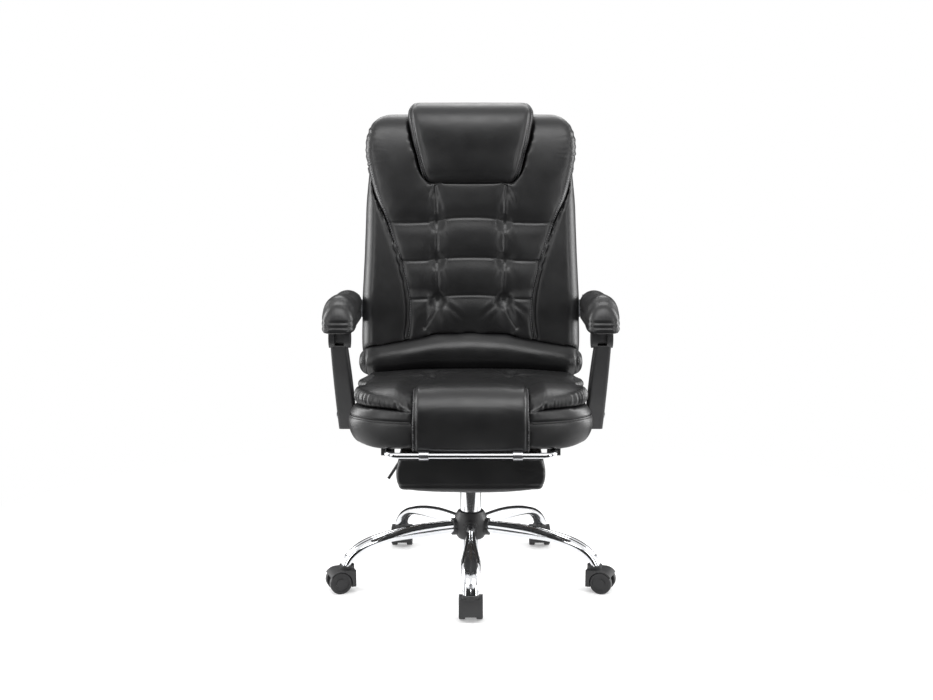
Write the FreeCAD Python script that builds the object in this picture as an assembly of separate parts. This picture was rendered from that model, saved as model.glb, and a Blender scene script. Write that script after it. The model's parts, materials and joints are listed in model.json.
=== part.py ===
import FreeCAD, Part
import math
import os

# Reclining office chair with a slide-out footrest, in millimetres.
# Z is up, the origin is on the floor under the column, and the chair faces -Y.

os.makedirs("parts", exist_ok=True)
Vector = FreeCAD.Vector
X_AXIS = Vector(1, 0, 0)
Y_AXIS = Vector(0, 1, 0)
Z_AXIS = Vector(0, 0, 1)
nodes = {}

# Clearances, and a length that reaches past the whole chair
running_fit = 0.05
soft_gap = 0.3
plate_gap = 0.5
beyond = 2000.0

# Castors
castor_circle = 300.0
leg_angles = (-90, -18, 54, 126, -162)
castor_turns = (90, -20, 90, 90, -160)
wheel_radius = 25.0
wheel_width = 14.0
wheel_edge = 1.5
wheel_spacing = 24.0
disc_radius = 18.5
disc_ring_radius = 11.0
disc_depth = 1.4
axle_radius = 4.0
axle_seat = 3.0
castor_trail = 20.0
hood_wall = 2.2
hood_clearance = 1.3
hood_front = 15.0
hood_notch = 15.0
hood_rear_angle = 35.0
web_clearance = 1.0
collar_radius = 17.0
collar_height = 8.5
stem_radius = 5.5
stem_depth = 24.0
stem_seat = 22.0

# Star base
leg_root = 4.0
leg_press = 0.78
sleeve_radius = 30.0
sleeve_rise = 38.0
sleeve_height = 58.0
cover_radius = 41.0
cover_lobe_radius = 47.0
cover_lobe_wall = 4.5
cover_top_rise = 6.0

# Gas lift
column_radius = 24.5
column_wall = 2.5
column_drop = 25.0
column_length = 217.0
column_floor = 5.0
bush_length = 60.0
bush_collar = 3.0
cylinder_radius = 14.0
cylinder_wall = 2.0
cylinder_cap = 6.0
cylinder_seat = 27.0
rod_radius = 5.0
rod_collar_radius = 11.0
rod_collar_height = 6.0
rod_clip_radius = 8.0
rod_clip_height = 3.7
rod_headroom = 39.0
piston_height = 12.0

# Lift plate and seat pan
housing_clearance = 23.0
housing_half_width = 45.0
housing_half_length = 50.0
housing_depth = 48.0
housing_corner = 12.0
housing_wall = 3.0
boss_wall = 4.0
plate_thickness = 5.0
plate_half_width = 75.0
plate_half_length = 70.0
bolt_radius = 4.0
bolt_head_radius = 7.0
bolt_head_height = 5.0
bolt_edge = 12.0
pan_thickness = 12.0
pan_corner = 25.0

# Seat cushions
seat_half_width = 270.0
seat_rear = 200.0
seat_front = -296.0
seat_base_height = 77.0
seat_top_slope = 0.03
seat_tuft_x = 88.0
seat_tuft_y = 60.0
seat_tuft_radius = 30.0
seat_tuft_sink = 9.0
roll_half_width = 124.0
roll_thickness = 27.0
roll_lead = 7.0
roll_crest_inset = 61.0
roll_crest_rise = 60.0
roll_tail_inset = 191.0
roll_tail_drop = 14.0
roll_nose_drop = 12.0
roll_foot_inset = 16.0
roll_foot_rise = 3.0
roll_top_swell = 5.0
roll_nose_swell = 15.0
roll_foot_swell = 4.0

# Hinge of the back, and its linkage
hinge_behind_seat = 25.0
hinge_above_pan = 49.0
hinge_x = 122.0
hinge_plate = 6.0
hinge_ear = 16.0
hinge_pin_radius = 6.0
hinge_head = 4.0
hinge_head_radius = 10.0
hinge_foot_length = 50.0
hinge_foot_width = 20.0
hinge_foot_inset = 20.0
hinge_web_drop = 22.0
hinge_seat_gap = 4.0
plate_corner = 2.0
link_y = -75.0
link_z = 188.0

# Back, with its heights measured up from the hinge
back_lean = 7.0
back_inset = 2.0
board_setback = 10.0
board_thickness = 12.0
board_inset = 53.0
board_shoulder_inset = 98.0
board_bottom = 62.0
board_shoulder = 380.0
board_top = 642.0
board_corner = 20.0
shell_crown = 6.0
overlay_floor = 32.0
headrest_half_width = 152.0
headrest_floor = 48.0
headrest_side_gap = 4.0
lumbar_floor = 42.0
lumbar_crown = 14.0
lumbar_overhang = 5.0
strap_half_width = 18.0
strap_thickness = 5.0
strap_top = 220.0
ear_top = 80.0
ear_depth = 22.0
ear_relief = 6.0
seam_width = 3.0
seam_depth = 4.0
seam_heights = (413.0, 322.0, 230.0)
back_tuft_x = 82.0
back_tuft_radius = 26.0
back_tuft_sink = 8.0

# Arms
arm_offset = 19.5
pad_rear_gap = 24.0
pad_length = 322.0
tray_rise = 1.0
tray_thickness = 21.0
tray_half_width = 28.0
tray_corner = 16.0
tray_rear_inset = 8.0
tray_front_inset = 31.0
rear_lug_offset = -4.5
rear_lug_width = 12.0
rear_lug_radius = 14.0
arm_bolt_radius = 5.0
arm_bolt_head = 9.0
bracket_offset = -12.5
bracket_thickness = 5.0
bracket_reach = 13.0
bracket_low = 18.0
bracket_high = 42.0
bracket_corner = 3.0
bracket_bar_length = 82.0
bracket_bar_depth = 14.0
bracket_bar_inset = 6.0

# Arm posts
post_pivot_y = -5.0
post_above_pan = 27.0
post_offset = 5.5
post_head_width = 48.0
post_head_radius = 22.0
post_slot_width = 21.0
post_corner = 6.0
post_bolt_radius = 6.0
post_bolt_head = 11.0
open_pivot_play = 1.5
lug_radius = 15.0
post_bracket_inset = 5.5
post_bracket_length = 72.5
post_bracket_half = 30.0
post_bracket_rise = 53.0

# Footrest
rail_x = 180.0
rail_radius = 6.5
rail_bend = 24.0
rail_rear = 190.0
bar_inset = 11.0
cap_lip = 1.5
cap_length = 8.0
guide_half_width = 14.0
guide_length = 24.0
guide_floor = 4.0
guide_inset = 60.0
guide_spacing = 147.0
footboard_gap = 2.0
footboard_thickness = 9.0
footboard_corner = 12.0
footpad_lead = 24.0
footpad_length = 196.0
footpad_side_gap = 11.0
footpad_overhang = 3.0
footpad_depth = 56.0
footpad_bulge = 8.0
clip_x = 100.0
clip_half_width = 10.0
clip_wall = 3.0
clip_tongue = 85.0

# Levers
lever_radius = 3.5
lever_y = 25.0
lever_drop = 13.0
lever_inner_end = -4.0
lever_bend = 30.0
lever_slot_play = 1.2
release_forward = 3.0
release_drop = 42.0
release_shaft = 5.0
release_reach = 228.0
paddle_width = 24.0
paddle_length = 74.0
paddle_height = 16.0
paddle_corner = 5.0

# Derived heights, from the castors up to the seat pan
leg_end_height = 2 * wheel_radius + hood_clearance + hood_wall + collar_height
sleeve_bottom = leg_end_height + sleeve_rise
sleeve_top = sleeve_bottom + sleeve_height
column_bottom = sleeve_bottom - column_drop
column_top = column_bottom + column_length
housing_bottom = column_top + bush_collar + housing_clearance
flange_bottom = housing_bottom + housing_depth
pan_bottom = flange_bottom + plate_thickness
pan_top = pan_bottom + pan_thickness
seat_plane = pan_bottom + seat_base_height

# Derived pivots and widths
hinge = Vector(0, seat_rear + hinge_behind_seat, pan_bottom + hinge_above_pan)
link = Vector(0, link_y, link_z)
post_pivot = Vector(0, post_pivot_y, pan_bottom + post_above_pan)
arm_pivot = hinge + link
open_pivot = post_pivot + link
back_slope = math.tan(math.radians(back_lean))
back_half_width = seat_half_width - back_inset
board_half_width = back_half_width - board_inset
arm_x = seat_half_width + arm_offset
bracket_inner = arm_x + bracket_offset
bracket_outer = bracket_inner + bracket_thickness
rear_lug_inner = arm_x + rear_lug_offset
rear_lug_outer = rear_lug_inner + rear_lug_width
post_x = arm_x + post_offset
post_head_inner = post_x - post_head_width / 2
post_head_outer = post_x + post_head_width / 2
hinge_plate_outer = hinge_x - plate_gap
hinge_plate_inner = hinge_plate_outer - hinge_plate
ear_outer = hinge_x + hinge_plate

# Derived places of the arms and the footrest
tray_bottom = arm_pivot.z + tray_rise
tray_top = tray_bottom + tray_thickness
pad_rear = arm_pivot.y - pad_rear_gap
pad_front = pad_rear - pad_length
cap_radius = rail_radius + cap_lip
rail_z = pan_bottom - plate_gap - cap_radius
bar_y = seat_front + bar_inset
guide_bottom = rail_z - rail_radius - guide_floor
footboard_top = rail_z - rail_radius - clip_wall - footboard_gap
footboard_bottom = footboard_top - footboard_thickness
footpad_front = bar_y + footpad_lead
footpad_rear = footpad_front + footpad_length
footpad_half_width = rail_x - guide_half_width - footpad_side_gap
release = hinge - Vector(0, release_forward, release_drop)


# Helpers

def add(name, *solids):
    """Keep one named piece, or one group of like solids."""
    nodes[name] = solids[0] if len(solids) == 1 else Part.makeCompound(list(solids))


def box(x_low, x_high, y_low, y_high, z_low, z_high):
    size = (x_high - x_low, y_high - y_low, z_high - z_low)
    return Part.makeBox(*size, Vector(x_low, y_low, z_low))


def rod(start, end, radius):
    run = end - start
    return Part.makeCylinder(radius, run.Length, start, run)


def upright(radius, low, high):
    """A round bar along the column's axis."""
    return rod(Vector(0, 0, low), Vector(0, 0, high), radius)


def pin(pivot, x_low, x_high, radius):
    """A round bar across the chair, through a pivot."""
    return rod(Vector(x_low, pivot.y, pivot.z), Vector(x_high, pivot.y, pivot.z), radius)


def mirrored(shape):
    return shape.mirror(Vector(0, 0, 0), X_AXIS)


def pair(shape):
    """The piece at the right of a front view, and its mirror image."""
    return shape, mirrored(shape)


def arc(start, middle, end):
    return Part.Arc(start, middle, end).toShape()


def line(start, end):
    return Part.LineSegment(start, end).toShape()


def swollen(start, end, swell):
    """An arc between two points, swollen by the given vector at its middle."""
    return arc(start, (start + end) * 0.5 + swell, end)


def rounded_loop(corners, radius):
    """A closed outline of straight runs whose corners are tangent arcs."""
    edges = []
    ends = []
    for i, corner in enumerate(corners):
        back = (corners[i - 1] - corner).normalize()
        ahead = (corners[(i + 1) % len(corners)] - corner).normalize()
        half_angle = back.getAngle(ahead) / 2
        bisector = (back + ahead).normalize()
        setback = radius / math.tan(half_angle)
        middle = corner + bisector * (radius / math.sin(half_angle) - radius)
        ends.append((corner + back * setback, middle, corner + ahead * setback))
    for i, (start, middle, end) in enumerate(ends):
        edges.append(arc(start, middle, end))
        edges.append(line(end, ends[(i + 1) % len(ends)][0]))
    return Part.Wire(edges)


def plate_x(outline, radius, x_low, x_high):
    """A plate whose outline lies in the YZ plane."""
    loop = rounded_loop([Vector(x_low, y, z) for y, z in outline], radius)
    return Part.Face(loop).extrude(Vector(x_high - x_low, 0, 0))


def plate_z(outline, radius, z_low, z_high):
    """A plate whose outline lies in the XY plane."""
    loop = rounded_loop([Vector(x, y, z_low) for x, y in outline], radius)
    return Part.Face(loop).extrude(Vector(0, 0, z_high - z_low))


def rectangle(half_width, y_low, y_high):
    return [(-half_width, y_low), (half_width, y_low), (half_width, y_high), (-half_width, y_high)]


def loft(sections):
    return Part.makeLoft(sections, True, False)


def filled(stations, step):
    """Stations with even in-between ones added wherever two stand far apart."""
    rows = []
    for here, after in zip(stations, stations[1:]):
        count = max(1, round(abs(after[0] - here[0]) / step))
        for i in range(count):
            rows.append(tuple(a + (b - a) * i / count for a, b in zip(here, after)))
    return rows + [stations[-1]]


def oval(centre, across, up, half_width, half_height):
    """A pressed-tube section of four arcs."""
    right = centre + across * half_width
    left = centre - across * half_width
    top = centre + up * half_height
    bottom = centre - up * half_height
    slant_right = across * (half_width * leg_press)
    slant_up = up * (half_height * leg_press)
    return Part.Wire([
        arc(right, centre + slant_right + slant_up, top),
        arc(top, centre - slant_right + slant_up, left),
        arc(left, centre - slant_right - slant_up, bottom),
        arc(bottom, centre + slant_right - slant_up, right),
    ])


def cushion_section(centre, across, up, half_width, low, high, crown, bulge):
    """A flat base, two bulging sides and a crowned top."""
    inner = half_width - bulge
    middle = (low + high) / 2
    base_left = centre - across * inner + up * low
    base_right = centre + across * inner + up * low
    top_right = centre + across * inner + up * high
    top_left = centre - across * inner + up * high
    side_right = centre + across * half_width + up * middle
    side_left = centre - across * half_width + up * middle
    if crown:
        top = arc(top_right, centre + up * (high + crown), top_left)
    else:
        top = line(top_right, top_left)
    return Part.Wire([
        line(base_left, base_right),
        arc(base_right, side_right, top_right),
        top,
        arc(top_left, side_left, base_left),
    ])


def tube(points, radius, bend):
    """A round bar along straight runs joined by tangent arcs."""
    edges = []
    start = points[0]
    for i in range(1, len(points) - 1):
        corner = points[i]
        back = (points[i - 1] - corner).normalize()
        ahead = (points[i + 1] - corner).normalize()
        half_angle = back.getAngle(ahead) / 2
        setback = bend / math.tan(half_angle)
        bisector = (back + ahead).normalize()
        middle = corner + bisector * (bend / math.sin(half_angle) - bend)
        edges.append(line(start, corner + back * setback))
        edges.append(arc(corner + back * setback, middle, corner + ahead * setback))
        start = corner + ahead * setback
    edges.append(line(start, points[-1]))
    path = Part.Wire(edges)
    section = Part.Wire(Part.makeCircle(radius, points[0], points[1] - points[0]))
    return path.makePipeShell([section], True, False)


def turned(shape, angle):
    copy = shape.copy()
    copy.rotate(Vector(0, 0, 0), Z_AXIS, angle)
    return copy


def at_castor(shape, leg_angle, turn=0):
    """Turn a piece drawn at the origin, and move it to the end of a leg."""
    angle = math.radians(leg_angle)
    moved = turned(shape, turn)
    moved.translate(Vector(castor_circle * math.cos(angle), castor_circle * math.sin(angle), 0))
    return moved


# Star base

# Each leg station is its distance in from the castor stem, then the height of its centre above
# the leg's end, its thickness and its width.
leg_stations = (
    (castor_circle - sleeve_radius + leg_root, 66.5, 34.0, 22.0),
    (192.0, 64.5, 32.0, 22.0),
    (150.0, 62.0, 29.0, 26.0),
    (110.0, 58.0, 22.0, 34.0),
    (75.0, 52.0, 17.0, 42.0),
    (44.0, 42.5, 16.0, 43.0),
    (21.0, 29.0, 16.0, 40.0),
    (5.0, 13.0, 16.0, 37.0),
    (-3.0, -6.0, 17.0, 35.0),
)


def leg_form(grow):
    """One leg along +X, its sections square to its centre line."""
    centres = [Vector(castor_circle - inward, 0, leg_end_height + rise) for inward, rise, _, _ in leg_stations]
    sections = []
    for i, (_, _, thickness, width) in enumerate(leg_stations):
        before = centres[max(i - 1, 0)]
        after = centres[min(i + 1, len(centres) - 1)]
        along = (after - before).normalize()
        up = along.cross(Y_AXIS) * -1
        sections.append(oval(centres[i], Y_AXIS, up, width / 2 + grow, thickness / 2 + grow))
    return loft(sections)


def make_star_base():
    sleeve = upright(sleeve_radius, sleeve_bottom, sleeve_top)
    stem_bottom = Vector(0, 0, leg_end_height - stem_depth)
    stem = rod(stem_bottom, Vector(0, 0, leg_end_height + stem_seat), stem_radius)
    below = box(0, beyond, -beyond, beyond, 0, leg_end_height)
    leg = leg_form(0).cut(below).cut(sleeve).cut(at_castor(stem, 0))
    add("hub_sleeve", sleeve.cut(upright(column_radius, sleeve_bottom, sleeve_top)))
    for i, angle in enumerate(leg_angles):
        add(f"leg_{i + 1}", turned(leg, angle))
    add("castor_stems", *[at_castor(stem, angle) for angle in leg_angles])


def make_hub_cover():
    """A turned shell round the sleeve, with a lobe over the root of each leg."""
    rim = sleeve_radius + soft_gap
    top = sleeve_top + cover_top_rise
    low_rim = Vector(rim, 0, sleeve_bottom)
    high_rim = Vector(rim, 0, top)
    waist = Vector(cover_radius, 0, (top + sleeve_bottom) / 2)
    outline = Part.Wire([line(low_rim, high_rim), arc(high_rim, waist, low_rim)])
    shell = Part.Face(outline).revolve(Vector(0, 0, 0), Z_AXIS, 360)
    lobe = leg_form(cover_lobe_wall).common(upright(cover_lobe_radius, 0, beyond))
    hollow = leg_form(soft_gap)
    for angle in leg_angles:
        shell = shell.fuse(turned(lobe, angle))
    for angle in leg_angles:
        shell = shell.cut(turned(hollow, angle))
    add("hub_cover", shell.cut(upright(rim, 0, beyond)).removeSplitter())


# Castors

def castor_hood():
    """The twin-wheel hood: a bridge over both wheels, a web between them and a collar on top."""
    centre = Vector(castor_trail, 0, wheel_radius)
    pocket_radius = wheel_radius + hood_clearance
    outer_radius = pocket_radius + hood_wall
    half_width = wheel_spacing / 2 + wheel_width
    web = wheel_spacing / 2 - web_clearance
    top = wheel_radius + outer_radius
    rear = math.radians(hood_rear_angle)
    shoulder_angle = math.radians((hood_rear_angle + 90) / 2)
    lip = centre + Vector(math.cos(rear), 0, math.sin(rear)) * outer_radius
    shoulder = centre + Vector(math.cos(shoulder_angle), 0, math.sin(shoulder_angle)) * outer_radius
    front_low = Vector(-hood_front, 0, hood_notch)
    front_high = Vector(-hood_front, 0, top)
    crest = Vector(castor_trail, 0, top)
    tail = Vector(castor_trail + axle_radius + hood_wall, 0, hood_notch)
    outline = Part.Wire([line(front_low, front_high), line(front_high, crest), arc(crest, shoulder, lip),
                         line(lip, tail), line(tail, front_low)])
    side = Vector(0, half_width, 0)
    body = Part.Face(outline).extrude(side * 2)
    body.translate(side * -1)
    for sign in (-1, 1):
        inner = sign * web
        outer = sign * (half_width + web_clearance)
        body = body.cut(rod(centre + Vector(0, inner, 0), centre + Vector(0, outer, 0), pocket_radius))
        behind = box(castor_trail, beyond, min(inner, outer), max(inner, outer), 0, wheel_radius)
        body = body.cut(behind)
    body = body.fuse(upright(collar_radius, top - hood_wall, leg_end_height - soft_gap))
    body = body.cut(upright(stem_radius + running_fit, leg_end_height - stem_depth - running_fit, leg_end_height))
    body = body.cut(rod(centre - side, centre + side, axle_radius + running_fit))
    return body.removeSplitter()


def castor_wheel():
    """One wheel of the pair, turned about its own axle line."""
    inner = wheel_spacing / 2
    outer = inner + wheel_width
    face = outer - disc_depth
    bottom = outer - axle_seat
    profile = [
        (inner, axle_radius), (inner, wheel_radius - wheel_edge), (inner + wheel_edge, wheel_radius),
        (outer - wheel_edge, wheel_radius), (outer, wheel_radius - wheel_edge), (outer, disc_radius),
        (face, disc_radius), (face, disc_ring_radius), (outer, disc_ring_radius), (outer, 0),
        (bottom, 0), (bottom, axle_radius),
    ]
    points = [Vector(radius, along, 0) for along, radius in profile]
    wheel = Part.Face(Part.makePolygon(points + points[:1])).revolve(Vector(0, 0, 0), Y_AXIS, 360)
    wheel.translate(Vector(castor_trail, 0, wheel_radius))
    return wheel


def make_castors():
    hood = castor_hood()
    wheel = castor_wheel()
    other = wheel.mirror(Vector(0, 0, 0), Y_AXIS)
    reach = Vector(0, wheel_spacing / 2 + wheel_width - axle_seat, 0)
    centre = Vector(castor_trail, 0, wheel_radius)
    axle = rod(centre - reach, centre + reach, axle_radius)
    for i, (angle, turn) in enumerate(zip(leg_angles, castor_turns)):
        add(f"castor_{i + 1}_hood", at_castor(hood, angle, turn))
        add(f"castor_{i + 1}_axle", at_castor(axle, angle, turn))
        add(f"castor_{i + 1}_wheels", at_castor(wheel, angle, turn), at_castor(other, angle, turn))


# Gas lift

def make_gas_lift():
    inner = column_radius - column_wall
    floor_top = column_bottom + column_floor
    column = upright(column_radius, column_bottom, column_top)
    column = column.cut(upright(inner, floor_top, column_top))
    column = column.cut(upright(rod_radius + running_fit, column_bottom, floor_top))
    bush_bottom = column_top - bush_length
    bush_top = column_top + bush_collar
    bush = upright(inner, bush_bottom, column_top).fuse(upright(column_radius, column_top, bush_top))
    bush = bush.cut(upright(cylinder_radius + running_fit, bush_bottom, bush_top))
    bore = cylinder_radius - cylinder_wall
    collar_low = floor_top + soft_gap
    collar_top = collar_low + rod_collar_height
    cylinder_bottom = collar_top + soft_gap
    cylinder_top = housing_bottom + cylinder_seat
    cylinder = upright(cylinder_radius, cylinder_bottom, cylinder_top)
    cylinder = cylinder.cut(upright(bore, cylinder_bottom + cylinder_cap, cylinder_top - cylinder_cap))
    cylinder = cylinder.cut(upright(rod_radius + running_fit, cylinder_bottom, cylinder_bottom + cylinder_cap))
    rod_top = cylinder_top - cylinder_cap - rod_headroom
    clip_top = column_bottom - soft_gap
    clip_bottom = clip_top - rod_clip_height
    piston = upright(rod_radius, clip_bottom, rod_top)
    piston = piston.fuse(upright(rod_collar_radius, collar_low, collar_top))
    piston = piston.fuse(upright(rod_clip_radius, clip_bottom, clip_top))
    piston = piston.fuse(upright(bore - running_fit, rod_top - piston_height, rod_top))
    add("column_tube", column)
    add("column_bush", bush)
    add("gas_cylinder", cylinder)
    add("piston_rod", piston)


# Lift plate and seat pan

def make_lift_plate():
    """A pressed housing with a boss for the cylinder, under a flange that is bolted to the pan."""
    width = housing_half_width
    length = housing_half_length
    inner = width - housing_wall
    plate = plate_z(rectangle(width, -length, length), housing_corner, housing_bottom, flange_bottom)
    hollow = plate_z(rectangle(inner, housing_wall - length, length - housing_wall),
                     housing_corner - housing_wall, housing_bottom + housing_wall, flange_bottom)
    seat_top = housing_bottom + cylinder_seat
    plate = plate.cut(hollow).fuse(upright(cylinder_radius + boss_wall, housing_bottom, seat_top))
    flange = rectangle(plate_half_width, -plate_half_length, plate_half_length)
    plate = plate.fuse(plate_z(flange, housing_corner, flange_bottom, pan_bottom))
    plate = plate.cut(upright(cylinder_radius, housing_bottom, seat_top))
    slot_side = lever_radius + running_fit
    slot_rise = lever_radius + lever_slot_play
    lever_z = flange_bottom - lever_drop
    plate = plate.cut(box(-width, -inner, lever_y - slot_side, lever_y + slot_side,
                          lever_z - slot_rise, lever_z + slot_rise))
    bolts = []
    for x in (bolt_edge - plate_half_width, plate_half_width - bolt_edge):
        for y in (bolt_edge - plate_half_length, plate_half_length - bolt_edge):
            seat = Vector(x, y, flange_bottom)
            shank = rod(seat, Vector(x, y, pan_top), bolt_radius)
            head = rod(seat - Z_AXIS * bolt_head_height, seat, bolt_head_radius)
            plate = plate.cut(shank)
            bolts.append(shank.fuse(head).removeSplitter())
    pan = pan_form(0)
    for bolt in bolts:
        pan = pan.cut(bolt)
    add("lift_plate", plate.removeSplitter())
    add("plate_bolts", *bolts)
    add("seat_pan", pan)


def seat_y(share):
    """A place along the seat, from its rear edge at 0 to its front edge at 1."""
    return seat_rear + (seat_front - seat_rear) * share


# Each corner of the pan's right side is its inset from the seat's half width and its share.
pan_corners = ((65.0, 0.04), (42.0, 0.28), (34.0, 0.645), (67.0, 0.88))


def pan_form(grow):
    last = len(pan_corners) - 1
    right = []
    for i, (inset, share) in enumerate(pan_corners):
        ahead = grow * ((i == 0) - (i == last))
        right.append((seat_half_width - inset + grow, seat_y(share) + ahead))
    outline = right + [(-x, y) for x, y in reversed(right)]
    return plate_z(outline, pan_corner, pan_bottom, pan_top + grow)


# Seat cushions

# Each base station is its share of the seat's length, then its side inset, the rise of its
# underside above the pan's and how far its sides bulge.
base_stations = (
    (0.0, 64.0, 15.0, 10.0),
    (0.02, 44.0, 3.0, 14.0),
    (0.2, 23.0, 0.0, 16.0),
    (0.4, 13.0, 0.0, 16.0),
    (0.52, 10.0, 0.0, 16.0),
    (0.645, 3.0, 0.0, 17.0),
    (0.735, 0.0, 0.0, 17.0),
    (0.815, 12.0, 0.0, 16.0),
    (0.885, 44.0, 2.0, 14.0),
    (0.945, 98.0, 7.0, 12.0),
    (0.98, 148.0, 17.0, 9.0),
    (1.0, 190.0, 33.0, 6.0),
)

# Each pillow station is its share of the seat's length, then its side inset, its thickness at
# the sides, its crown and how far its sides bulge.
pillow_stations = (
    (0.025, 70.0, 7.5, 2.0, 3.0),
    (0.06, 56.0, 13.0, 4.0, 6.0),
    (0.16, 42.0, 21.5, 6.0, 9.0),
    (0.3, 30.0, 23.5, 8.0, 11.0),
    (0.525, 20.0, 27.0, 10.0, 14.0),
    (0.665, 13.0, 36.0, 12.0, 17.0),
    (0.755, 13.0, 38.5, 12.0, 18.0),
    (0.835, 30.0, 35.5, 12.0, 17.0),
    (0.895, 70.0, 27.5, 12.0, 14.0),
    (0.945, 120.0, 17.0, 10.0, 9.0),
    (0.965, 144.0, 9.5, 6.0, 5.0),
)
seat_station_step = 0.06

# Each roll station is its share of the roll's half width and how far its skin is drawn in there.
roll_stations = ((-1.0, 16.0), (-0.93, 6.0), (-0.5, 1.0), (0.0, 0.0), (0.5, 1.0), (0.93, 6.0), (1.0, 16.0))
roll_station_step = 0.15


def base_top(y):
    return seat_plane - seat_top_slope * y


def roll_skin(inset):
    """The roll's skin from its tail over the crest to its foot, moved in by an inset."""
    tail = Vector(0, seat_front + roll_tail_inset, seat_plane + roll_crest_rise - roll_tail_drop - inset)
    crest = Vector(0, seat_front + roll_crest_inset + inset / 2, seat_plane + roll_crest_rise - inset)
    nose = Vector(0, seat_front - roll_lead + inset, seat_plane - roll_nose_drop)
    foot = Vector(0, seat_front + roll_foot_inset + inset / 2, pan_bottom + roll_foot_rise)
    curves = [
        swollen(tail, crest, Vector(0, 0, roll_top_swell)),
        swollen(crest, nose, Vector(0, -roll_nose_swell, roll_nose_swell)),
        swollen(nose, foot, Vector(0, -roll_foot_swell, 0)),
    ]
    return curves, tail, foot


def roll_section(x, sink):
    """The roll's closed outline at one width, its outer skin drawn in by the given sink."""
    inner, inner_tail, inner_foot = roll_skin(roll_thickness)
    outer, outer_tail, outer_foot = roll_skin(sink)
    wire = Part.Wire(outer + [line(outer_foot, inner_foot)] + inner[::-1] + [line(inner_tail, outer_tail)])
    wire.translate(Vector(x, 0, 0))
    return wire


def roll_trench():
    """The space that the roll takes out of the cushions behind it."""
    inner, tail, foot = roll_skin(roll_thickness + soft_gap)
    low_front = Vector(0, -beyond, foot.z)
    high_front = Vector(0, -beyond, beyond)
    over_tail = Vector(0, tail.y + soft_gap, beyond)
    tail_side = Vector(0, tail.y + soft_gap, tail.z)
    edges = inner + [line(foot, low_front), line(low_front, high_front), line(high_front, over_tail),
                     line(over_tail, tail_side), line(tail_side, tail)]
    face = Part.Face(Part.Wire(Part.__sortEdges__(edges)))
    reach = roll_half_width + soft_gap
    face.translate(Vector(-reach, 0, 0))
    return face.extrude(Vector(2 * reach, 0, 0))


def make_seat_cushions():
    base = loft([
        cushion_section(Vector(0, seat_y(share), 0), X_AXIS, Z_AXIS, seat_half_width - inset,
                        pan_bottom + low, base_top(seat_y(share)), 0, bulge)
        for share, inset, low, bulge in filled(base_stations, seat_station_step)
    ])
    pillow = loft([
        cushion_section(Vector(0, seat_y(share), base_top(seat_y(share))), X_AXIS, Z_AXIS,
                        seat_half_width - inset, soft_gap, thickness, crown, bulge)
        for share, inset, thickness, crown, bulge in filled(pillow_stations, seat_station_step)
    ])
    probe = line(Vector(seat_tuft_x, seat_tuft_y, 0), Vector(seat_tuft_x, seat_tuft_y, beyond))
    tuft_z = pillow.common(probe).BoundBox.ZMax - seat_tuft_sink + seat_tuft_radius
    for x in (-seat_tuft_x, seat_tuft_x):
        pillow = pillow.cut(Part.makeSphere(seat_tuft_radius, Vector(x, seat_tuft_y, tuft_z)))
    trench = roll_trench()
    roll = loft([
        roll_section(share * roll_half_width, sink) for share, sink in filled(roll_stations, roll_station_step)
    ])
    underneath = box(-beyond, beyond, -beyond, beyond, 0, pan_bottom)
    add("seat_base_cushion", base.cut(underneath).cut(pan_form(soft_gap)).cut(trench))
    add("seat_top_cushion", pillow.cut(trench))
    add("seat_front_roll", roll)


# Hinges between seat and back

def board_line(rise):
    """Where the front face of the back board stands at a rise above the hinge."""
    return hinge.y - board_setback + rise * back_slope


def on_board(rise, behind):
    """The y and z of a point behind the board's front face."""
    return board_line(rise) + behind, hinge.z + rise


def make_hinges():
    front = hinge.y - hinge_ear
    rear = hinge.y + hinge_ear
    low = hinge.z - hinge_ear
    high = hinge.z + hinge_ear
    foot_rear = seat_rear - hinge_foot_inset
    foot_front = foot_rear - hinge_foot_length
    web = seat_rear + hinge_seat_gap
    web_low = pan_bottom - hinge_web_drop
    outline = [(foot_front, pan_bottom), (foot_front, web_low), (foot_rear, web_low), (rear, pan_bottom),
               (rear, high), (front, high), (web, low), (web, pan_bottom)]
    bracket = plate_x(outline, plate_corner, hinge_plate_inner, hinge_plate_outer)
    bracket = bracket.fuse(box(hinge_plate_inner - hinge_foot_width, hinge_plate_inner, foot_front, foot_rear,
                               flange_bottom, pan_bottom))
    bracket = bracket.cut(pin(hinge, hinge_plate_inner, hinge_plate_outer, hinge_pin_radius)).removeSplitter()
    shaft_hole = pin(release, -hinge_plate_outer, -hinge_plate_inner, release_shaft + running_fit)
    ear_outline = [(front, low), (rear, low), (rear, high), on_board(ear_top, board_thickness + ear_depth),
                   on_board(ear_top, board_thickness), on_board(board_bottom - ear_relief, board_thickness),
                   (front, high)]
    ear = plate_x(ear_outline, plate_corner, hinge_x, ear_outer)
    ear = ear.cut(pin(hinge, hinge_x, ear_outer, hinge_pin_radius + running_fit))
    start = hinge_plate_inner - hinge_head
    end = ear_outer + plate_gap
    bolt = pin(hinge, start, end + hinge_head, hinge_pin_radius)
    bolt = bolt.fuse(pin(hinge, start, hinge_plate_inner, hinge_head_radius))
    bolt = bolt.fuse(pin(hinge, end, end + hinge_head, hinge_head_radius))
    add("hinge_brackets", bracket, mirrored(bracket).cut(shaft_hole))
    add("hinge_arms", *pair(ear.fuse(strap_form(0)).removeSplitter()))
    add("hinge_pins", *pair(bolt.removeSplitter()))


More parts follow.
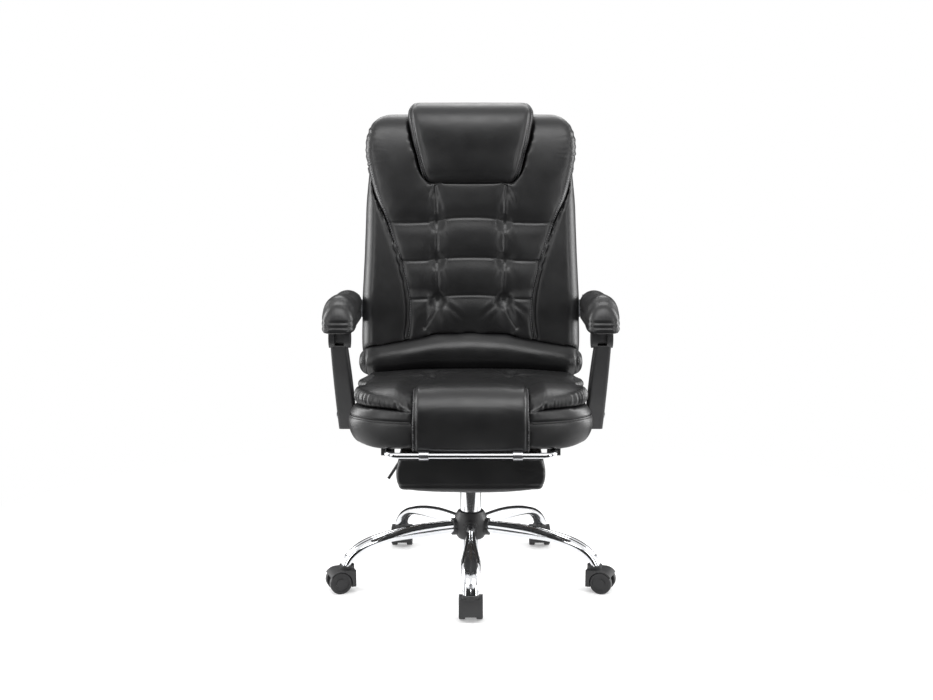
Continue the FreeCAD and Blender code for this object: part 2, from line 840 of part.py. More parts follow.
def strap_form(grow):
    """The flat bar that lies on the rear of the back board, grown where it clears a cover."""
    outer = board_thickness + strap_thickness + grow
    outline = [on_board(board_bottom, board_thickness), on_board(board_bottom, outer),
               on_board(strap_top + grow, outer), on_board(strap_top + grow, board_thickness)]
    left = hinge_x + hinge_plate / 2 - strap_half_width - grow
    points = [Vector(left, y, z) for y, z in outline]
    face = Part.Face(Part.makePolygon(points + points[:1]))
    return face.extrude(Vector(2 * (strap_half_width + grow), 0, 0))


# Back

# Each shell station is its rise, then its side inset, front depth and side bulge.
shell_stations = (
    (58.0, 18.0, 52.0, 16.0),
    (80.0, 4.0, 66.0, 24.0),
    (120.0, 0.0, 74.0, 26.0),
    (220.0, 1.0, 76.0, 26.0),
    (342.0, 7.0, 73.0, 26.0),
    (452.0, 11.0, 68.0, 25.0),
    (526.0, 17.0, 62.0, 22.0),
    (600.0, 30.0, 52.0, 20.0),
    (642.0, 46.0, 40.0, 16.0),
    (662.0, 68.0, 24.0, 10.0),
)

# Each overlay station is its rise, then its side inset, front depth, crown and side bulge.
overlay_stations = (
    (68.0, 118.0, 62.0, 6.0, 8.0),
    (120.0, 114.0, 72.0, 10.0, 12.0),
    (188.0, 114.0, 76.0, 12.0, 14.0),
    (254.0, 107.0, 77.0, 12.0, 14.0),
    (329.0, 88.0, 77.0, 12.0, 14.0),
    (410.0, 61.0, 78.0, 12.0, 15.0),
    (470.0, 37.0, 80.0, 12.0, 17.0),
    (509.0, 26.0, 82.0, 12.0, 19.0),
    (545.0, 17.0, 84.0, 12.0, 22.0),
    (590.0, 11.0, 84.0, 12.0, 24.0),
    (625.0, 16.0, 80.0, 12.0, 22.0),
    (650.0, 28.0, 70.0, 12.0, 17.0),
    (666.0, 48.0, 54.0, 10.0, 10.0),
    (672.0, 68.0, 42.0, 6.0, 4.0),
)

# Each headrest station is its rise, then its side inset, front depth, crown and side bulge.
headrest_stations = (
    (499.0, 68.0, 66.0, 4.0, 6.0),
    (506.0, 48.0, 84.0, 7.0, 12.0),
    (520.0, 36.0, 98.0, 10.0, 17.0),
    (560.0, 24.0, 112.0, 12.0, 20.0),
    (610.0, 10.0, 119.0, 12.0, 22.0),
    (655.0, 1.0, 118.0, 12.0, 22.0),
    (675.0, 0.0, 110.0, 12.0, 20.0),
    (690.0, 6.0, 96.0, 10.0, 16.0),
    (699.0, 16.0, 76.0, 5.0, 9.0),
)

# Each lumbar station is its share of the half width, then the rise of its centre, its half
# height, front depth and side bulge.
lumbar_stations = (
    (-1.0, 67.0, 15.0, 62.0, 5.0),
    (-0.96, 66.0, 29.0, 72.0, 10.0),
    (-0.88, 68.0, 36.5, 80.0, 13.0),
    (-0.6, 79.0, 38.5, 87.0, 14.0),
    (-0.3, 89.0, 46.0, 91.0, 16.0),
    (0.0, 91.0, 49.0, 92.0, 16.0),
)

# Each cover station is its rise, then its side inset, depth and crown.
cover_stations = (
    (64.0, 42.0, 5.0, 3.0),
    (80.0, 31.0, 8.0, 5.0),
    (120.0, 26.0, 10.0, 7.0),
    (280.0, 26.0, 10.0, 9.0),
    (480.0, 35.0, 10.0, 9.0),
    (590.0, 51.0, 9.0, 7.0),
    (628.0, 72.0, 7.0, 4.0),
    (646.0, 90.0, 4.0, 3.0),
)
back_station_step = 35.0
lumbar_station_step = 0.1


def back_section(rise, half, low, high, crown, bulge):
    centre = Vector(0, board_line(rise), hinge.z + rise)
    return cushion_section(centre, X_AXIS, Y_AXIS * -1, half, low, high, crown, bulge)


def board_form(grow):
    corners = [(board_half_width, board_bottom), (board_half_width, board_shoulder),
               (back_half_width - board_shoulder_inset, board_top + grow)]
    right = [(x + grow, rise) for x, rise in corners]
    outline = right + [(-x, rise) for x, rise in reversed(right)]
    loop = rounded_loop([Vector(x, board_line(rise) - grow, hinge.z + rise) for x, rise in outline], board_corner)
    return Part.Face(loop).extrude(Vector(0, board_thickness + grow, 0))


def shell_form():
    return loft([
        back_section(rise, back_half_width - inset, -board_thickness, depth, shell_crown, bulge)
        for rise, inset, depth, bulge in filled(shell_stations, back_station_step)
    ])


def overlay_form(grow):
    return loft([
        back_section(rise, back_half_width - inset + grow, overlay_floor - grow, depth + grow, crown, bulge)
        for rise, inset, depth, crown, bulge in filled(overlay_stations, back_station_step)
    ])


def headrest_form(side, rear):
    return loft([
        back_section(rise, headrest_half_width - inset + side, headrest_floor - rear, depth, crown, bulge)
        for rise, inset, depth, crown, bulge in filled(headrest_stations, back_station_step)
    ])


def lumbar_form(grow):
    """A roll across the back, its sections square to the back and its ends drawn in."""
    tilt = math.radians(back_lean)
    along = Vector(0, math.sin(tilt), math.cos(tilt))
    forward = Vector(0, -math.cos(tilt), math.sin(tilt))
    half_width = back_half_width + lumbar_overhang + grow
    left = filled(lumbar_stations, lumbar_station_step)
    right = [(-share, *rest) for share, *rest in left[-2::-1]]
    return loft([
        cushion_section(Vector(share * half_width, board_line(rise), hinge.z + rise), along, forward,
                        half + grow, lumbar_floor - grow, depth + grow, lumbar_crown, bulge)
        for share, rise, half, depth, bulge in left + right
    ])


def cover_form():
    sections = []
    for rise, inset, depth, crown in filled(cover_stations, back_station_step):
        centre = Vector(0, board_line(rise) + board_thickness + soft_gap, hinge.z + rise)
        sections.append(cushion_section(centre, X_AXIS, Y_AXIS, back_half_width - inset, 0, depth, crown,
                                        depth / 3))
    return loft(sections)


def seam_grooves(form):
    """Sewn channels of one depth, cut along the crowned front of a cushion."""
    under = form.translated(Vector(0, seam_depth, 0))
    half = seam_width / 2
    heights = [hinge.z + rise for rise in seam_heights]
    grooves = [box(-beyond, beyond, 0, beyond, z - half, z + half) for z in heights]
    for x in (-back_tuft_x, back_tuft_x):
        grooves.append(box(x - half, x + half, 0, beyond, min(heights) - half, max(heights) + half))
    return grooves[0].fuse(grooves[1:]).cut(under)


def make_overlay(lumbar_room):
    plain = overlay_form(0)
    overlay = plain.cut(lumbar_room).cut(headrest_form(headrest_side_gap, soft_gap))
    overlay = overlay.cut(seam_grooves(plain))
    for rise in seam_heights:
        z = hinge.z + rise
        probe = line(Vector(back_tuft_x, -beyond, z), Vector(back_tuft_x, beyond, z))
        tuft_y = plain.common(probe).BoundBox.YMin + back_tuft_sink - back_tuft_radius
        for x in (-back_tuft_x, back_tuft_x):
            overlay = overlay.cut(Part.makeSphere(back_tuft_radius, Vector(x, tuft_y, z)))
    add("back_overlay", overlay)


def make_back():
    lumbar_room = lumbar_form(soft_gap)
    shell = shell_form().cut(overlay_form(soft_gap)).cut(lumbar_room).cut(board_form(soft_gap))
    cover = cover_form()
    for bar in pair(bracket_bar(soft_gap)):
        shell = shell.cut(bar)
    ear_room = box(hinge_x - soft_gap, ear_outer + soft_gap, 0, beyond, 0, hinge.z + ear_top + soft_gap)
    for room in (*pair(strap_form(soft_gap)), *pair(ear_room)):
        cover = cover.cut(room)
    make_overlay(lumbar_room)
    add("back_board", board_form(0))
    add("back_cushion", shell)
    add("headrest", headrest_form(0, 0))
    add("lumbar_roll", lumbar_form(0))
    add("back_cover", cover)


def bracket_bar(grow):
    """The bar that carries an arm bracket, from the board out through the shell's side."""
    low = arm_pivot.z - hinge.z - bracket_low + bracket_bar_inset - grow
    high = arm_pivot.z - hinge.z + bracket_high - 2 * bracket_bar_inset + grow
    depth = bracket_bar_depth + grow
    left = bracket_outer - bracket_bar_length - grow
    outline = [on_board(low, 0), on_board(high, 0), on_board(high, -depth), on_board(low, -depth)]
    loop = [Vector(left, y, z) for y, z in outline]
    return Part.Face(Part.makePolygon(loop + loop[:1])).extrude(Vector(bracket_outer - left, 0, 0))


# Arms and their linkage

def make_arm_brackets():
    low = link_z - bracket_low
    high = link_z + bracket_high
    front = arm_pivot.y - bracket_reach
    rear = arm_pivot.y + bracket_reach
    outline = [(front, arm_pivot.z - bracket_reach), (arm_pivot.y, hinge.z + low), on_board(low, 0),
               on_board(high, 0), (rear, hinge.z + high), (front, arm_pivot.z + bracket_reach)]
    bracket = plate_x(outline, bracket_corner, bracket_inner, bracket_outer).fuse(bracket_bar(0))
    bracket = bracket.cut(pin(arm_pivot, bracket_inner, bracket_outer, arm_bolt_radius)).removeSplitter()
    head = bracket_inner - hinge_head
    nut = rear_lug_outer + plate_gap
    bolt = pin(arm_pivot, head, nut + hinge_head, arm_bolt_radius)
    bolt = bolt.fuse(pin(arm_pivot, head, bracket_inner, arm_bolt_head))
    bolt = bolt.fuse(pin(arm_pivot, nut, nut + hinge_head, arm_bolt_head))
    add("arm_brackets", *pair(bracket))
    add("pad_pivot_bolts", *pair(bolt.removeSplitter()))


# Each pad station is its distance from the rear end as a share of the pad's length, then its
# half width, the height of its sides, its crown and how far its sides bulge.
pad_stations = (
    (0.0, 17.0, 9.5, 3.0, 2.0),
    (0.02, 24.0, 20.0, 7.0, 3.0),
    (0.07, 30.0, 29.0, 11.0, 4.0),
    (0.2, 33.0, 36.0, 14.0, 5.0),
    (0.6, 34.0, 38.0, 14.0, 5.0),
    (0.82, 34.0, 34.0, 14.0, 5.0),
    (0.93, 31.5, 26.0, 12.0, 4.0),
    (0.98, 26.0, 17.0, 8.0, 3.0),
    (1.0, 19.0, 10.0, 3.0, 2.0),
)
pad_station_step = 0.07


def make_arms():
    pad = loft([
        cushion_section(Vector(arm_x, pad_rear - share * pad_length, tray_top), X_AXIS, Z_AXIS, half,
                        soft_gap, height, crown, bulge)
        for share, half, height, crown, bulge in filled(pad_stations, pad_station_step)
    ])
    tray_rear = pad_rear - tray_rear_inset
    outline = rectangle(tray_half_width, pad_front + tray_front_inset, tray_rear)
    tray = plate_z([(arm_x + x, y) for x, y in outline], tray_corner, tray_bottom, tray_top)
    tray = tray.fuse(box(rear_lug_inner, rear_lug_outer, tray_rear - tray_corner, arm_pivot.y,
                         arm_pivot.z - rear_lug_radius, arm_pivot.z + rear_lug_radius))
    tray = tray.fuse(pin(arm_pivot, rear_lug_inner, rear_lug_outer, rear_lug_radius))
    tray = tray.cut(pin(arm_pivot, rear_lug_inner, rear_lug_outer, arm_bolt_radius + running_fit))
    lug_left = post_x - post_slot_width / 2 + plate_gap
    lug_right = post_x + post_slot_width / 2 - plate_gap
    tray = tray.fuse(pin(open_pivot, lug_left, lug_right, lug_radius))
    tray = tray.fuse(box(lug_left, lug_right, open_pivot.y - lug_radius, open_pivot.y + lug_radius,
                         open_pivot.z, tray_bottom))
    tray = tray.cut(pin(open_pivot, lug_left, lug_right, arm_bolt_radius + open_pivot_play)).removeSplitter()
    add("arm_pad_right", pad)
    add("arm_pad_left", mirrored(pad))
    add("arm_tray_right", tray)
    add("arm_tray_left", mirrored(tray))


# Each post section is its rise above the lower pivot, then how far its inner and outer faces
# stand from the arm's middle and its depth along y.
post_stations = (
    (-35.0, -21.5, 17.5, 48.0),
    (42.0, -19.0, 21.5, 50.0),
    (177.0, -9.5, 26.5, 40.0),
)


def make_posts():
    sections = []
    for rise, inner, outer, depth in post_stations:
        middle = post_pivot + link * (rise / link_z)
        corners = [Vector(arm_x + inner, middle.y - depth / 2, middle.z),
                   Vector(arm_x + outer, middle.y - depth / 2, middle.z),
                   Vector(arm_x + outer, middle.y + depth / 2, middle.z),
                   Vector(arm_x + inner, middle.y + depth / 2, middle.z)]
        sections.append(rounded_loop(corners, post_corner))
    post = loft(sections).fuse(pin(open_pivot, post_head_inner, post_head_outer, post_head_radius))
    slot = box(post_x - post_slot_width / 2, post_x + post_slot_width / 2, -beyond, beyond,
               open_pivot.z - lug_radius - plate_gap, beyond)
    post = post.cut(slot).fuse(pin(open_pivot, post_head_inner, post_head_outer, arm_bolt_radius))
    face = arm_x + post_stations[0][2]
    outer = seat_half_width - post_bracket_inset
    inner = outer - bracket_thickness
    head = face + plate_gap
    post = post.cut(pin(post_pivot, inner, face, post_bolt_radius + running_fit))
    post = post.cut(pin(post_pivot, face, beyond, post_bolt_head + plate_gap)).removeSplitter()
    bolt = pin(post_pivot, inner, head, post_bolt_radius)
    bolt = bolt.fuse(pin(post_pivot, head, head + hinge_head, post_bolt_head)).removeSplitter()
    front = post_pivot.y - post_bracket_half
    rear = post_pivot.y + post_bracket_half
    bracket = box(outer - post_bracket_length, outer, front, rear, flange_bottom, pan_bottom)
    bracket = bracket.fuse(box(inner, outer, front, rear, flange_bottom, pan_bottom + post_bracket_rise))
    add("post_brackets", *pair(bracket.cut(bolt).removeSplitter()))
    add("post_pivot_bolts", *pair(bolt))
    add("arm_post_right", post)
    add("arm_post_left", mirrored(post))


# Footrest

# Each row is the distance in from either end of the cushion, then how much narrower and
# shallower it is there, and its crown.
footpad_edge = ((0.0, 6.0, 8.0, 2.0), (5.0, 1.0, 2.0, 5.0), (16.0, 0.0, 0.0, 6.0))
footpad_step = 20.0


def make_footrest():
    frame = tube([Vector(-rail_x, rail_rear, rail_z), Vector(-rail_x, bar_y, rail_z),
                  Vector(rail_x, bar_y, rail_z), Vector(rail_x, rail_rear, rail_z)], rail_radius, rail_bend)
    first_guide = seat_front + guide_inset
    caps = []
    guides = []
    for x in (-rail_x, rail_x):
        end = Vector(x, rail_rear, rail_z)
        caps.append(rod(end, end + Y_AXIS * cap_length, cap_radius))
        for y in (first_guide, first_guide + guide_spacing):
            guide = box(x - guide_half_width, x + guide_half_width, y, y + guide_length, guide_bottom, pan_bottom)
            bore = rod(Vector(x, y, rail_z), Vector(x, y + guide_length, rail_z), rail_radius + running_fit)
            guides.append(guide.cut(bore))
    add("footrest_frame", frame)
    add("frame_stop_caps", *caps)
    add("rail_guides", *guides)


def make_footpad():
    overhang = footpad_overhang
    outline = rectangle(footpad_half_width - overhang, footpad_front + overhang, footpad_rear - overhang)
    stations = [(footpad_front + inward, *rest) for inward, *rest in footpad_edge]
    stations += [(footpad_rear - inward, *rest) for inward, *rest in footpad_edge[::-1]]
    cushion = loft([
        cushion_section(Vector(0, y, footboard_bottom), X_AXIS, Z_AXIS * -1, footpad_half_width - narrow,
                        soft_gap, footpad_depth - shallow, crown, footpad_bulge)
        for y, narrow, shallow, crown in filled(stations, footpad_step)
    ])
    outer = rail_radius + running_fit + clip_wall
    bar = Vector(0, bar_y, rail_z)
    clips = []
    for x in (-clip_x, clip_x):
        left = x - clip_half_width
        right = x + clip_half_width
        clip = pin(bar, left, right, outer)
        clip = clip.fuse(box(left, right, bar_y, bar_y + clip_tongue, footboard_top, footboard_top + clip_wall))
        clip = clip.fuse(box(left, right, bar_y, bar_y + outer, footboard_top, rail_z))
        clips.append(clip.cut(pin(bar, left, right, rail_radius + running_fit)).removeSplitter())
    add("footrest_board", plate_z(outline, footboard_corner, footboard_bottom, footboard_top))
    add("footrest_cushion", cushion)
    add("footrest_clips", *clips)


# Levers

# Each point of the height lever outside its slot is its x, then how far it stands forward of
# the slot and below it.
lever_points = ((-118.0, 0.0, 3.0), (-166.0, 12.0, 71.0), (-194.0, 22.0, 113.0))


def make_levers():
    lever_z = flange_bottom - lever_drop
    points = [Vector(lever_inner_end, lever_y, lever_z)]
    points += [Vector(x, lever_y - forward, lever_z - down) for x, forward, down in lever_points]
    add("height_lever", tube(points, lever_radius, lever_bend))
    shaft = pin(release, -release_reach, -hinge_plate_inner, release_shaft)
    half = paddle_height / 2
    front = release.y - half
    rear = front + paddle_length
    outline = [(front, release.z - half), (rear, release.z - half), (rear, release.z + half),
               (front, release.z + half)]
    paddle = plate_x(outline, paddle_corner, -release_reach - paddle_width, -release_reach)
    add("recline_lever", shaft.fuse(paddle).removeSplitter())


make_star_base()
make_hub_cover()
make_castors()
make_gas_lift()
make_lift_plate()
make_seat_cushions()
make_hinges()
make_back()
make_arm_brackets()
make_arms()
make_posts()
make_footrest()
make_footpad()
make_levers()

for name, shape in nodes.items():
    shape.exportStep("parts/" + name + ".step")
print(len(nodes), "nodes")
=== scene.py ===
import json
import math

import bpy
import numpy as np
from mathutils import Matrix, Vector
from mathutils.bvhtree import BVHTree

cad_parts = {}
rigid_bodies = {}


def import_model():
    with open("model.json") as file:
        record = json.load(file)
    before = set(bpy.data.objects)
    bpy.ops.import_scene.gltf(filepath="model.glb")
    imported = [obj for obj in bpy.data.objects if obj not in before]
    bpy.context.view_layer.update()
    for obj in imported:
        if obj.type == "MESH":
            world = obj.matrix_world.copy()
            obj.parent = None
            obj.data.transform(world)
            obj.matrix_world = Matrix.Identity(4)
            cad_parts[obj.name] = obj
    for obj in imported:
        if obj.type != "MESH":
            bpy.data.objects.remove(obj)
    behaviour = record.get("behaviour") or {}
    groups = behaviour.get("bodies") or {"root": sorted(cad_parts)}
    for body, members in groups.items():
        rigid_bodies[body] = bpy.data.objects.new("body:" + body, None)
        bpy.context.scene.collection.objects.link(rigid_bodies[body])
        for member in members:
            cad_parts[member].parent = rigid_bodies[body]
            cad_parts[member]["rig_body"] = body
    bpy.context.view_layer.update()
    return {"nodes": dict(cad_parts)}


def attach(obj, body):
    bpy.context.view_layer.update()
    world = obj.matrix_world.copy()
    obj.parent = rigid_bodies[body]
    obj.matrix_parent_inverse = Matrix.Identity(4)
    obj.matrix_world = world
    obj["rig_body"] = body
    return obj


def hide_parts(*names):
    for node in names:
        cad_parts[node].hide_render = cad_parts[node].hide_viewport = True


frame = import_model()

MM = 0.001
NODES = frame["nodes"]
SCENE = bpy.context.scene

# Camera, in metres
CAMERA_DISTANCE = 3.0
CAMERA_HEIGHT = 1.0008
CAMERA_PITCH = 0.1502
CAMERA_LENS = 50.51
CAMERA_SHIFT = -0.0046

# Soft pieces, in mm
VOXEL = 5.0
ARM_VOXEL = 4.0
COVER_VOXEL = 4.5
DEEPEST = 9.0
WELT_INSET = 3.5
SIDE_STITCH_INSET = 7
WELT_TOP = 985
WELT_RADIUS = 4.0
WELT_LIFT = 2.5
PIPING_RADIUS = 2.4
PIPING_LIFT = 0.6
FOOTPAD_HEIGHT = (266.5, 350.6)
FOOTPAD_WIDENING = 1.042

# Stitches, in mm, and the places along a stitch as (part of its length, height, part of its girth)
STITCH_LENGTH = 4.2
STITCH_PITCH = 6.0
STITCH_RADIUS = 0.65
STITCH_SIDES = 5
STITCH_SHAPE = ((-0.5, -0.35, 0.5), (-0.3, 0.25, 1), (0.3, 0.25, 1), (0.5, -0.35, 0.5))
ROW_GAP = 3.4

# Filling of the soft pieces
FRAMES = 20
CLOTH_QUALITY = 4
CLOTH_MASS = 0.3
CLOTH_BENDING = 6.0
TINY = 1e-6

# Studio, lengths in metres
TOP_TARGET = (0, 0, 0.8)
SIDE_TARGET = (0, 0, 0.75)
CARD_RING = 2.2
CARD_HEIGHT = 2.0
CARD_COUNT = 12
OPEN_TURNS = (90, 120, 240, 270)
LOW_CARD_SIZE = (3.2, 1.74)
LOW_CARD_PLACE = 1.33
LOW_CARD_HEIGHT = 0.012
FLOOR_HALF = 12.0
FLOOR_PAINT = 0.86
FLOOR_GLOW = 0.3
FLOOR_FADE = (0.45, 1.5)
LIGHT_STRENGTH = 0.4

FRONT = Vector((0, -1, 0))
REAR = Vector((0, 1, 0))
UP = Vector((0, 0, 1))
DOWN = Vector((0, 0, -1))


# Meshes
def coords(mesh):
    out = np.empty(len(mesh.vertices) * 3)
    mesh.vertices.foreach_get("co", out)
    return out.reshape(-1, 3)


def normals(mesh):
    out = np.empty(len(mesh.vertices) * 3)
    mesh.vertices.foreach_get("normal", out)
    return out.reshape(-1, 3)


def set_coords(mesh, points):
    mesh.vertices.foreach_set("co", points.astype(np.float32).ravel())
    mesh.update()


def link(name, mesh):
    obj = bpy.data.objects.new(name, mesh)
    SCENE.collection.objects.link(obj)
    return obj


def shade_smooth(mesh):
    mesh.polygons.foreach_set("use_smooth", [True] * len(mesh.polygons))


def bake(obj):
    """Gives obj the mesh that its modifiers make, and takes them off."""
    graph = bpy.context.evaluated_depsgraph_get()
    mesh = bpy.data.meshes.new_from_object(obj.evaluated_get(graph))
    obj.modifiers.clear()
    obj.data = mesh


def smooth_line(points, parts=8):
    """A Catmull-Rom line through the points."""
    p = np.array(points, float)
    p = np.vstack([2 * p[0] - p[1], p, 2 * p[-1] - p[-2]])
    t = np.linspace(0, 1, parts, endpoint=False)[:, None]
    out = []
    for a, b, c, d in zip(p, p[1:], p[2:], p[3:]):
        out.append(0.5 * (2 * b + (c - a) * t + (2 * a - 5 * b + 4 * c - d) * t**2
                          + (3 * b - a - 3 * c + d) * t**3))
    return np.vstack(out + [p[-2][None]])


def near(chart, line):
    """How far each point of the chart is from the line, and how far along it the nearest place is."""
    best = np.full(len(chart), np.inf)
    along = np.zeros(len(chart))
    start = 0.0
    for a, b in zip(line[:-1], line[1:]):
        run = b - a
        length = np.hypot(*run)
        t = np.clip((chart - a) @ run / length**2, 0, 1)
        gap = np.hypot(*(chart - a - t[:, None] * run).T)
        closer = gap < best
        best[closer] = gap[closer]
        along[closer] = start + t[closer] * length
        start += length
    return best, along


def folds(along, pitch, rng):
    """Uneven waves, from -1 to 1, along a seam."""
    knots = np.cumsum(rng.uniform(0.55, 1.45, int(along.max() / pitch * 2) + 8) * pitch) - 2 * pitch
    heights = rng.uniform(0.35, 1.0, len(knots)) * (-1.0) ** np.arange(len(knots))
    place = np.clip(np.searchsorted(knots, along) - 1, 0, len(knots) - 2)
    t = (along - knots[place]) / (knots[place + 1] - knots[place])
    ease = 0.5 - 0.5 * np.cos(np.pi * np.clip(t, 0, 1))
    return heights[place] * (1 - ease) + heights[place + 1] * ease


def ramp(value, start, end):
    """0 before the start, 1 past the end, smooth between."""
    t = np.clip((value - start) / (end - start), 0, 1)
    return t * t * (3 - 2 * t)


def bell(gap, width):
    """1 where the gap is 0, dying out past the width."""
    return np.exp(-((gap / width) ** 2))


class Surface:
    """A soft piece's points in mm, and the plane in which its seams are drawn."""

    def __init__(self, obj, axes, facing=None, seed=1):
        self.mesh = obj.data
        self.points = coords(obj.data) / MM
        self.normals = normals(obj.data)
        self.chart = self.points[:, axes]
        self.lift = np.zeros(len(self.points))
        self.rng = np.random.default_rng(seed)
        self.shown = np.ones(len(self.points))
        if facing is not None:
            self.shown = np.clip((self.normals @ np.array(facing) + 0.05) / 0.3, 0, 1)

    def groove(self, line, depth, width):
        gap, _ = near(self.chart, line)
        self.lift -= depth * bell(gap, width)

    def dent(self, place, depth, width):
        gap = np.hypot(*(self.chart - place).T)
        self.lift -= depth * bell(gap, width)

    def crease(self, line, depth, width):
        """A fold that is deepest near the line's start and dies out at its end."""
        gap, along = near(self.chart, line)
        fade = (1 - along / max(along.max(), TINY)) * (0.35 + 0.65 * ramp(along, 0, 16))
        self.lift -= depth * fade * bell(gap, width)
        self.lift += 0.45 * depth * fade * ramp(along, 8, 30) * bell(gap - 2 * width, width)

    def rays(self, place, angles, reach, depth, width):
        """Creases that run out from a tuft."""
        for angle in angles:
            turn = math.radians(angle + self.rng.uniform(-6, 6))
            length = reach * self.rng.uniform(0.7, 1.2)
            bend = self.rng.uniform(-0.12, 0.12)
            steps = np.array((0, 0.33, 0.66, 1))
            way = np.column_stack([np.cos(turn + bend * steps), np.sin(turn + bend * steps)])
            line = np.array(place) + length * steps[:, None] * way
            self.crease(line, depth * self.rng.uniform(0.7, 1.1), width)

    def gathers(self, line, depth, reach, pitch):
        """Short uneven wrinkles square to a seam."""
        gap, along = near(self.chart, line)
        waves = folds(along, pitch, self.rng) * (0.6 + 0.4 * folds(along, pitch * 2.9, self.rng))
        length = reach * (1 + 0.35 * folds(along, pitch * 1.7, self.rng))
        self.lift += depth * waves * np.exp(-gap / length)

    def ripples(self, depth, size):
        """Broad unevenness of the filling."""
        turns = self.rng.uniform(-1, 1, (6, 3))
        starts = self.rng.uniform(0, 2 * np.pi, 6)
        for turn, start in zip(turns, starts):
            self.lift += depth / 6 * np.sin(self.points @ turn * 2 * np.pi / size + start)

    def apply(self):
        low = self.lift < 0
        self.lift[low] = DEEPEST * np.tanh(self.lift[low] / DEEPEST)
        self.points += self.normals * (self.lift * self.shown)[:, None]
        set_coords(self.mesh, self.points * MM)


# Materials
def new_material(name, **sockets):
    material = bpy.data.materials.new(name)
    material.use_nodes = True
    shader = material.node_tree.nodes["Principled BSDF"]
    for socket, value in sockets.items():
        shader.inputs[socket.replace("_", " ")].default_value = value
    return material, material.node_tree, shader


def node(tree, kind, links=(), **values):
    made = tree.nodes.new(kind)
    for key, value in values.items():
        if hasattr(made, key):
            setattr(made, key, value)
        else:
            made.inputs[key.replace("_", " ")].default_value = value
    for socket, source in dict(links).items():
        tree.links.new(source, made.inputs[socket])
    return made


def grain(tree, shader, place, scale, strength, distance, detail=4.0, cells=False):
    """Fine surface relief from a noise or a cell pattern."""
    if cells:
        pattern = node(tree, "ShaderNodeTexVoronoi", {"Vector": place}, Scale=scale)
        height = pattern.outputs["Distance"]
    else:
        pattern = node(tree, "ShaderNodeTexNoise", {"Vector": place}, Scale=scale, Detail=detail)
        height = pattern.outputs["Fac"]
    bump = node(tree, "ShaderNodeBump", {"Height": height}, Strength=strength, Distance=distance)
    tree.links.new(bump.outputs["Normal"], shader.inputs["Normal"])


def spread(tree, place, scale, low, high, detail=3.0):
    """A value between low and high that drifts over the surface."""
    noise = node(tree, "ShaderNodeTexNoise", {"Vector": place}, Scale=scale, Detail=detail)
    ranged = node(tree, "ShaderNodeMapRange", {"Value": noise.outputs["Fac"]},
                  From_Min=0.3, From_Max=0.7, To_Min=low, To_Max=high)
    return ranged.outputs["Result"]


def tinted(tree, shader, place, scale, dark, light):
    """A base colour that drifts between two tones."""
    noise = node(tree, "ShaderNodeTexNoise", {"Vector": place}, Scale=scale, Detail=4.0)
    tones = node(tree, "ShaderNodeValToRGB", {"Fac": noise.outputs["Fac"]})
    for stop, position, colour in zip(tones.color_ramp.elements, (0.3, 0.7), (dark, light)):
        stop.position = position
        stop.color = (*colour, 1)
    tree.links.new(tones.outputs["Color"], shader.inputs["Base Color"])


def surface_material(name, dark, light, rough, grain_size, grain_strength, relief, cells=False, **sockets):
    material, tree, shader = new_material(name, **sockets)
    place = node(tree, "ShaderNodeTexCoord").outputs["Object"]
    tinted(tree, shader, place, 14.0, dark, light)
    tree.links.new(spread(tree, place, 30.0, *rough), shader.inputs["Roughness"])
    grain(tree, shader, place, 1 / grain_size, grain_strength, relief, cells=cells)
    return material


def leather(name, dark, light, rough, specular):
    material = surface_material(
        name, dark, light, rough, 1.5 * MM, 0.25, 0.25 * MM, cells=True, Specular_IOR_Level=specular)
    tree = material.node_tree
    fine = next(n for n in tree.nodes if n.type == "BUMP")
    place = next(n for n in tree.nodes if n.type == "TEX_COORD").outputs["Object"]
    slack = node(tree, "ShaderNodeTexNoise", {"Vector": place}, Scale=38.0, Detail=5.0)
    broad = node(tree, "ShaderNodeBump", {"Height": slack.outputs["Fac"]}, Strength=0.06, Distance=1.2 * MM)
    tree.links.new(broad.outputs["Normal"], fine.inputs["Normal"])
    return material


def plywood_material():
    material, tree, shader = new_material("plywood", Roughness=0.62)
    place = node(tree, "ShaderNodeTexCoord").outputs["Object"]
    stretch = node(tree, "ShaderNodeMapping", {"Vector": place})
    stretch.inputs["Scale"].default_value = (60.0, 4.0, 60.0)
    tinted(tree, shader, stretch.outputs["Vector"], 3.0, (0.030, 0.024, 0.019), (0.060, 0.048, 0.038))
    grain(tree, shader, stretch.outputs["Vector"], 12.0, 0.3, 0.4 * MM)
    return material


LEATHER = leather("soft_black_leather", dark=(0.0085, 0.0085, 0.009), light=(0.013, 0.013, 0.0135),
                  rough=(0.34, 0.42), specular=0.5)
PIPING = leather("piping_leather", dark=(0.011, 0.011, 0.0115), light=(0.015, 0.015, 0.0155),
                 rough=(0.3, 0.4), specular=0.45)
THREAD = surface_material("thread", dark=(0.13, 0.13, 0.135), light=(0.19, 0.19, 0.195), rough=(0.55, 0.7),
                          grain_size=0.4 * MM, grain_strength=0.4, relief=0.1 * MM)
CHROME = surface_material("bright_chrome", dark=(0.78, 0.79, 0.81), light=(0.84, 0.85, 0.87),
                          rough=(0.05, 0.11), grain_size=3 * MM, grain_strength=0.02, relief=0.1 * MM,
                          Metallic=1.0)
ZINC = surface_material("zinc_steel", dark=(0.48, 0.49, 0.51), light=(0.62, 0.63, 0.65), rough=(0.25, 0.4),
                        grain_size=0.9 * MM, grain_strength=0.12, relief=0.1 * MM, Metallic=1.0)
COATED = surface_material("black_coated_steel", dark=(0.011, 0.011, 0.012), light=(0.018, 0.018, 0.019),
                          rough=(0.32, 0.45), grain_size=0.7 * MM, grain_strength=0.2, relief=0.1 * MM)
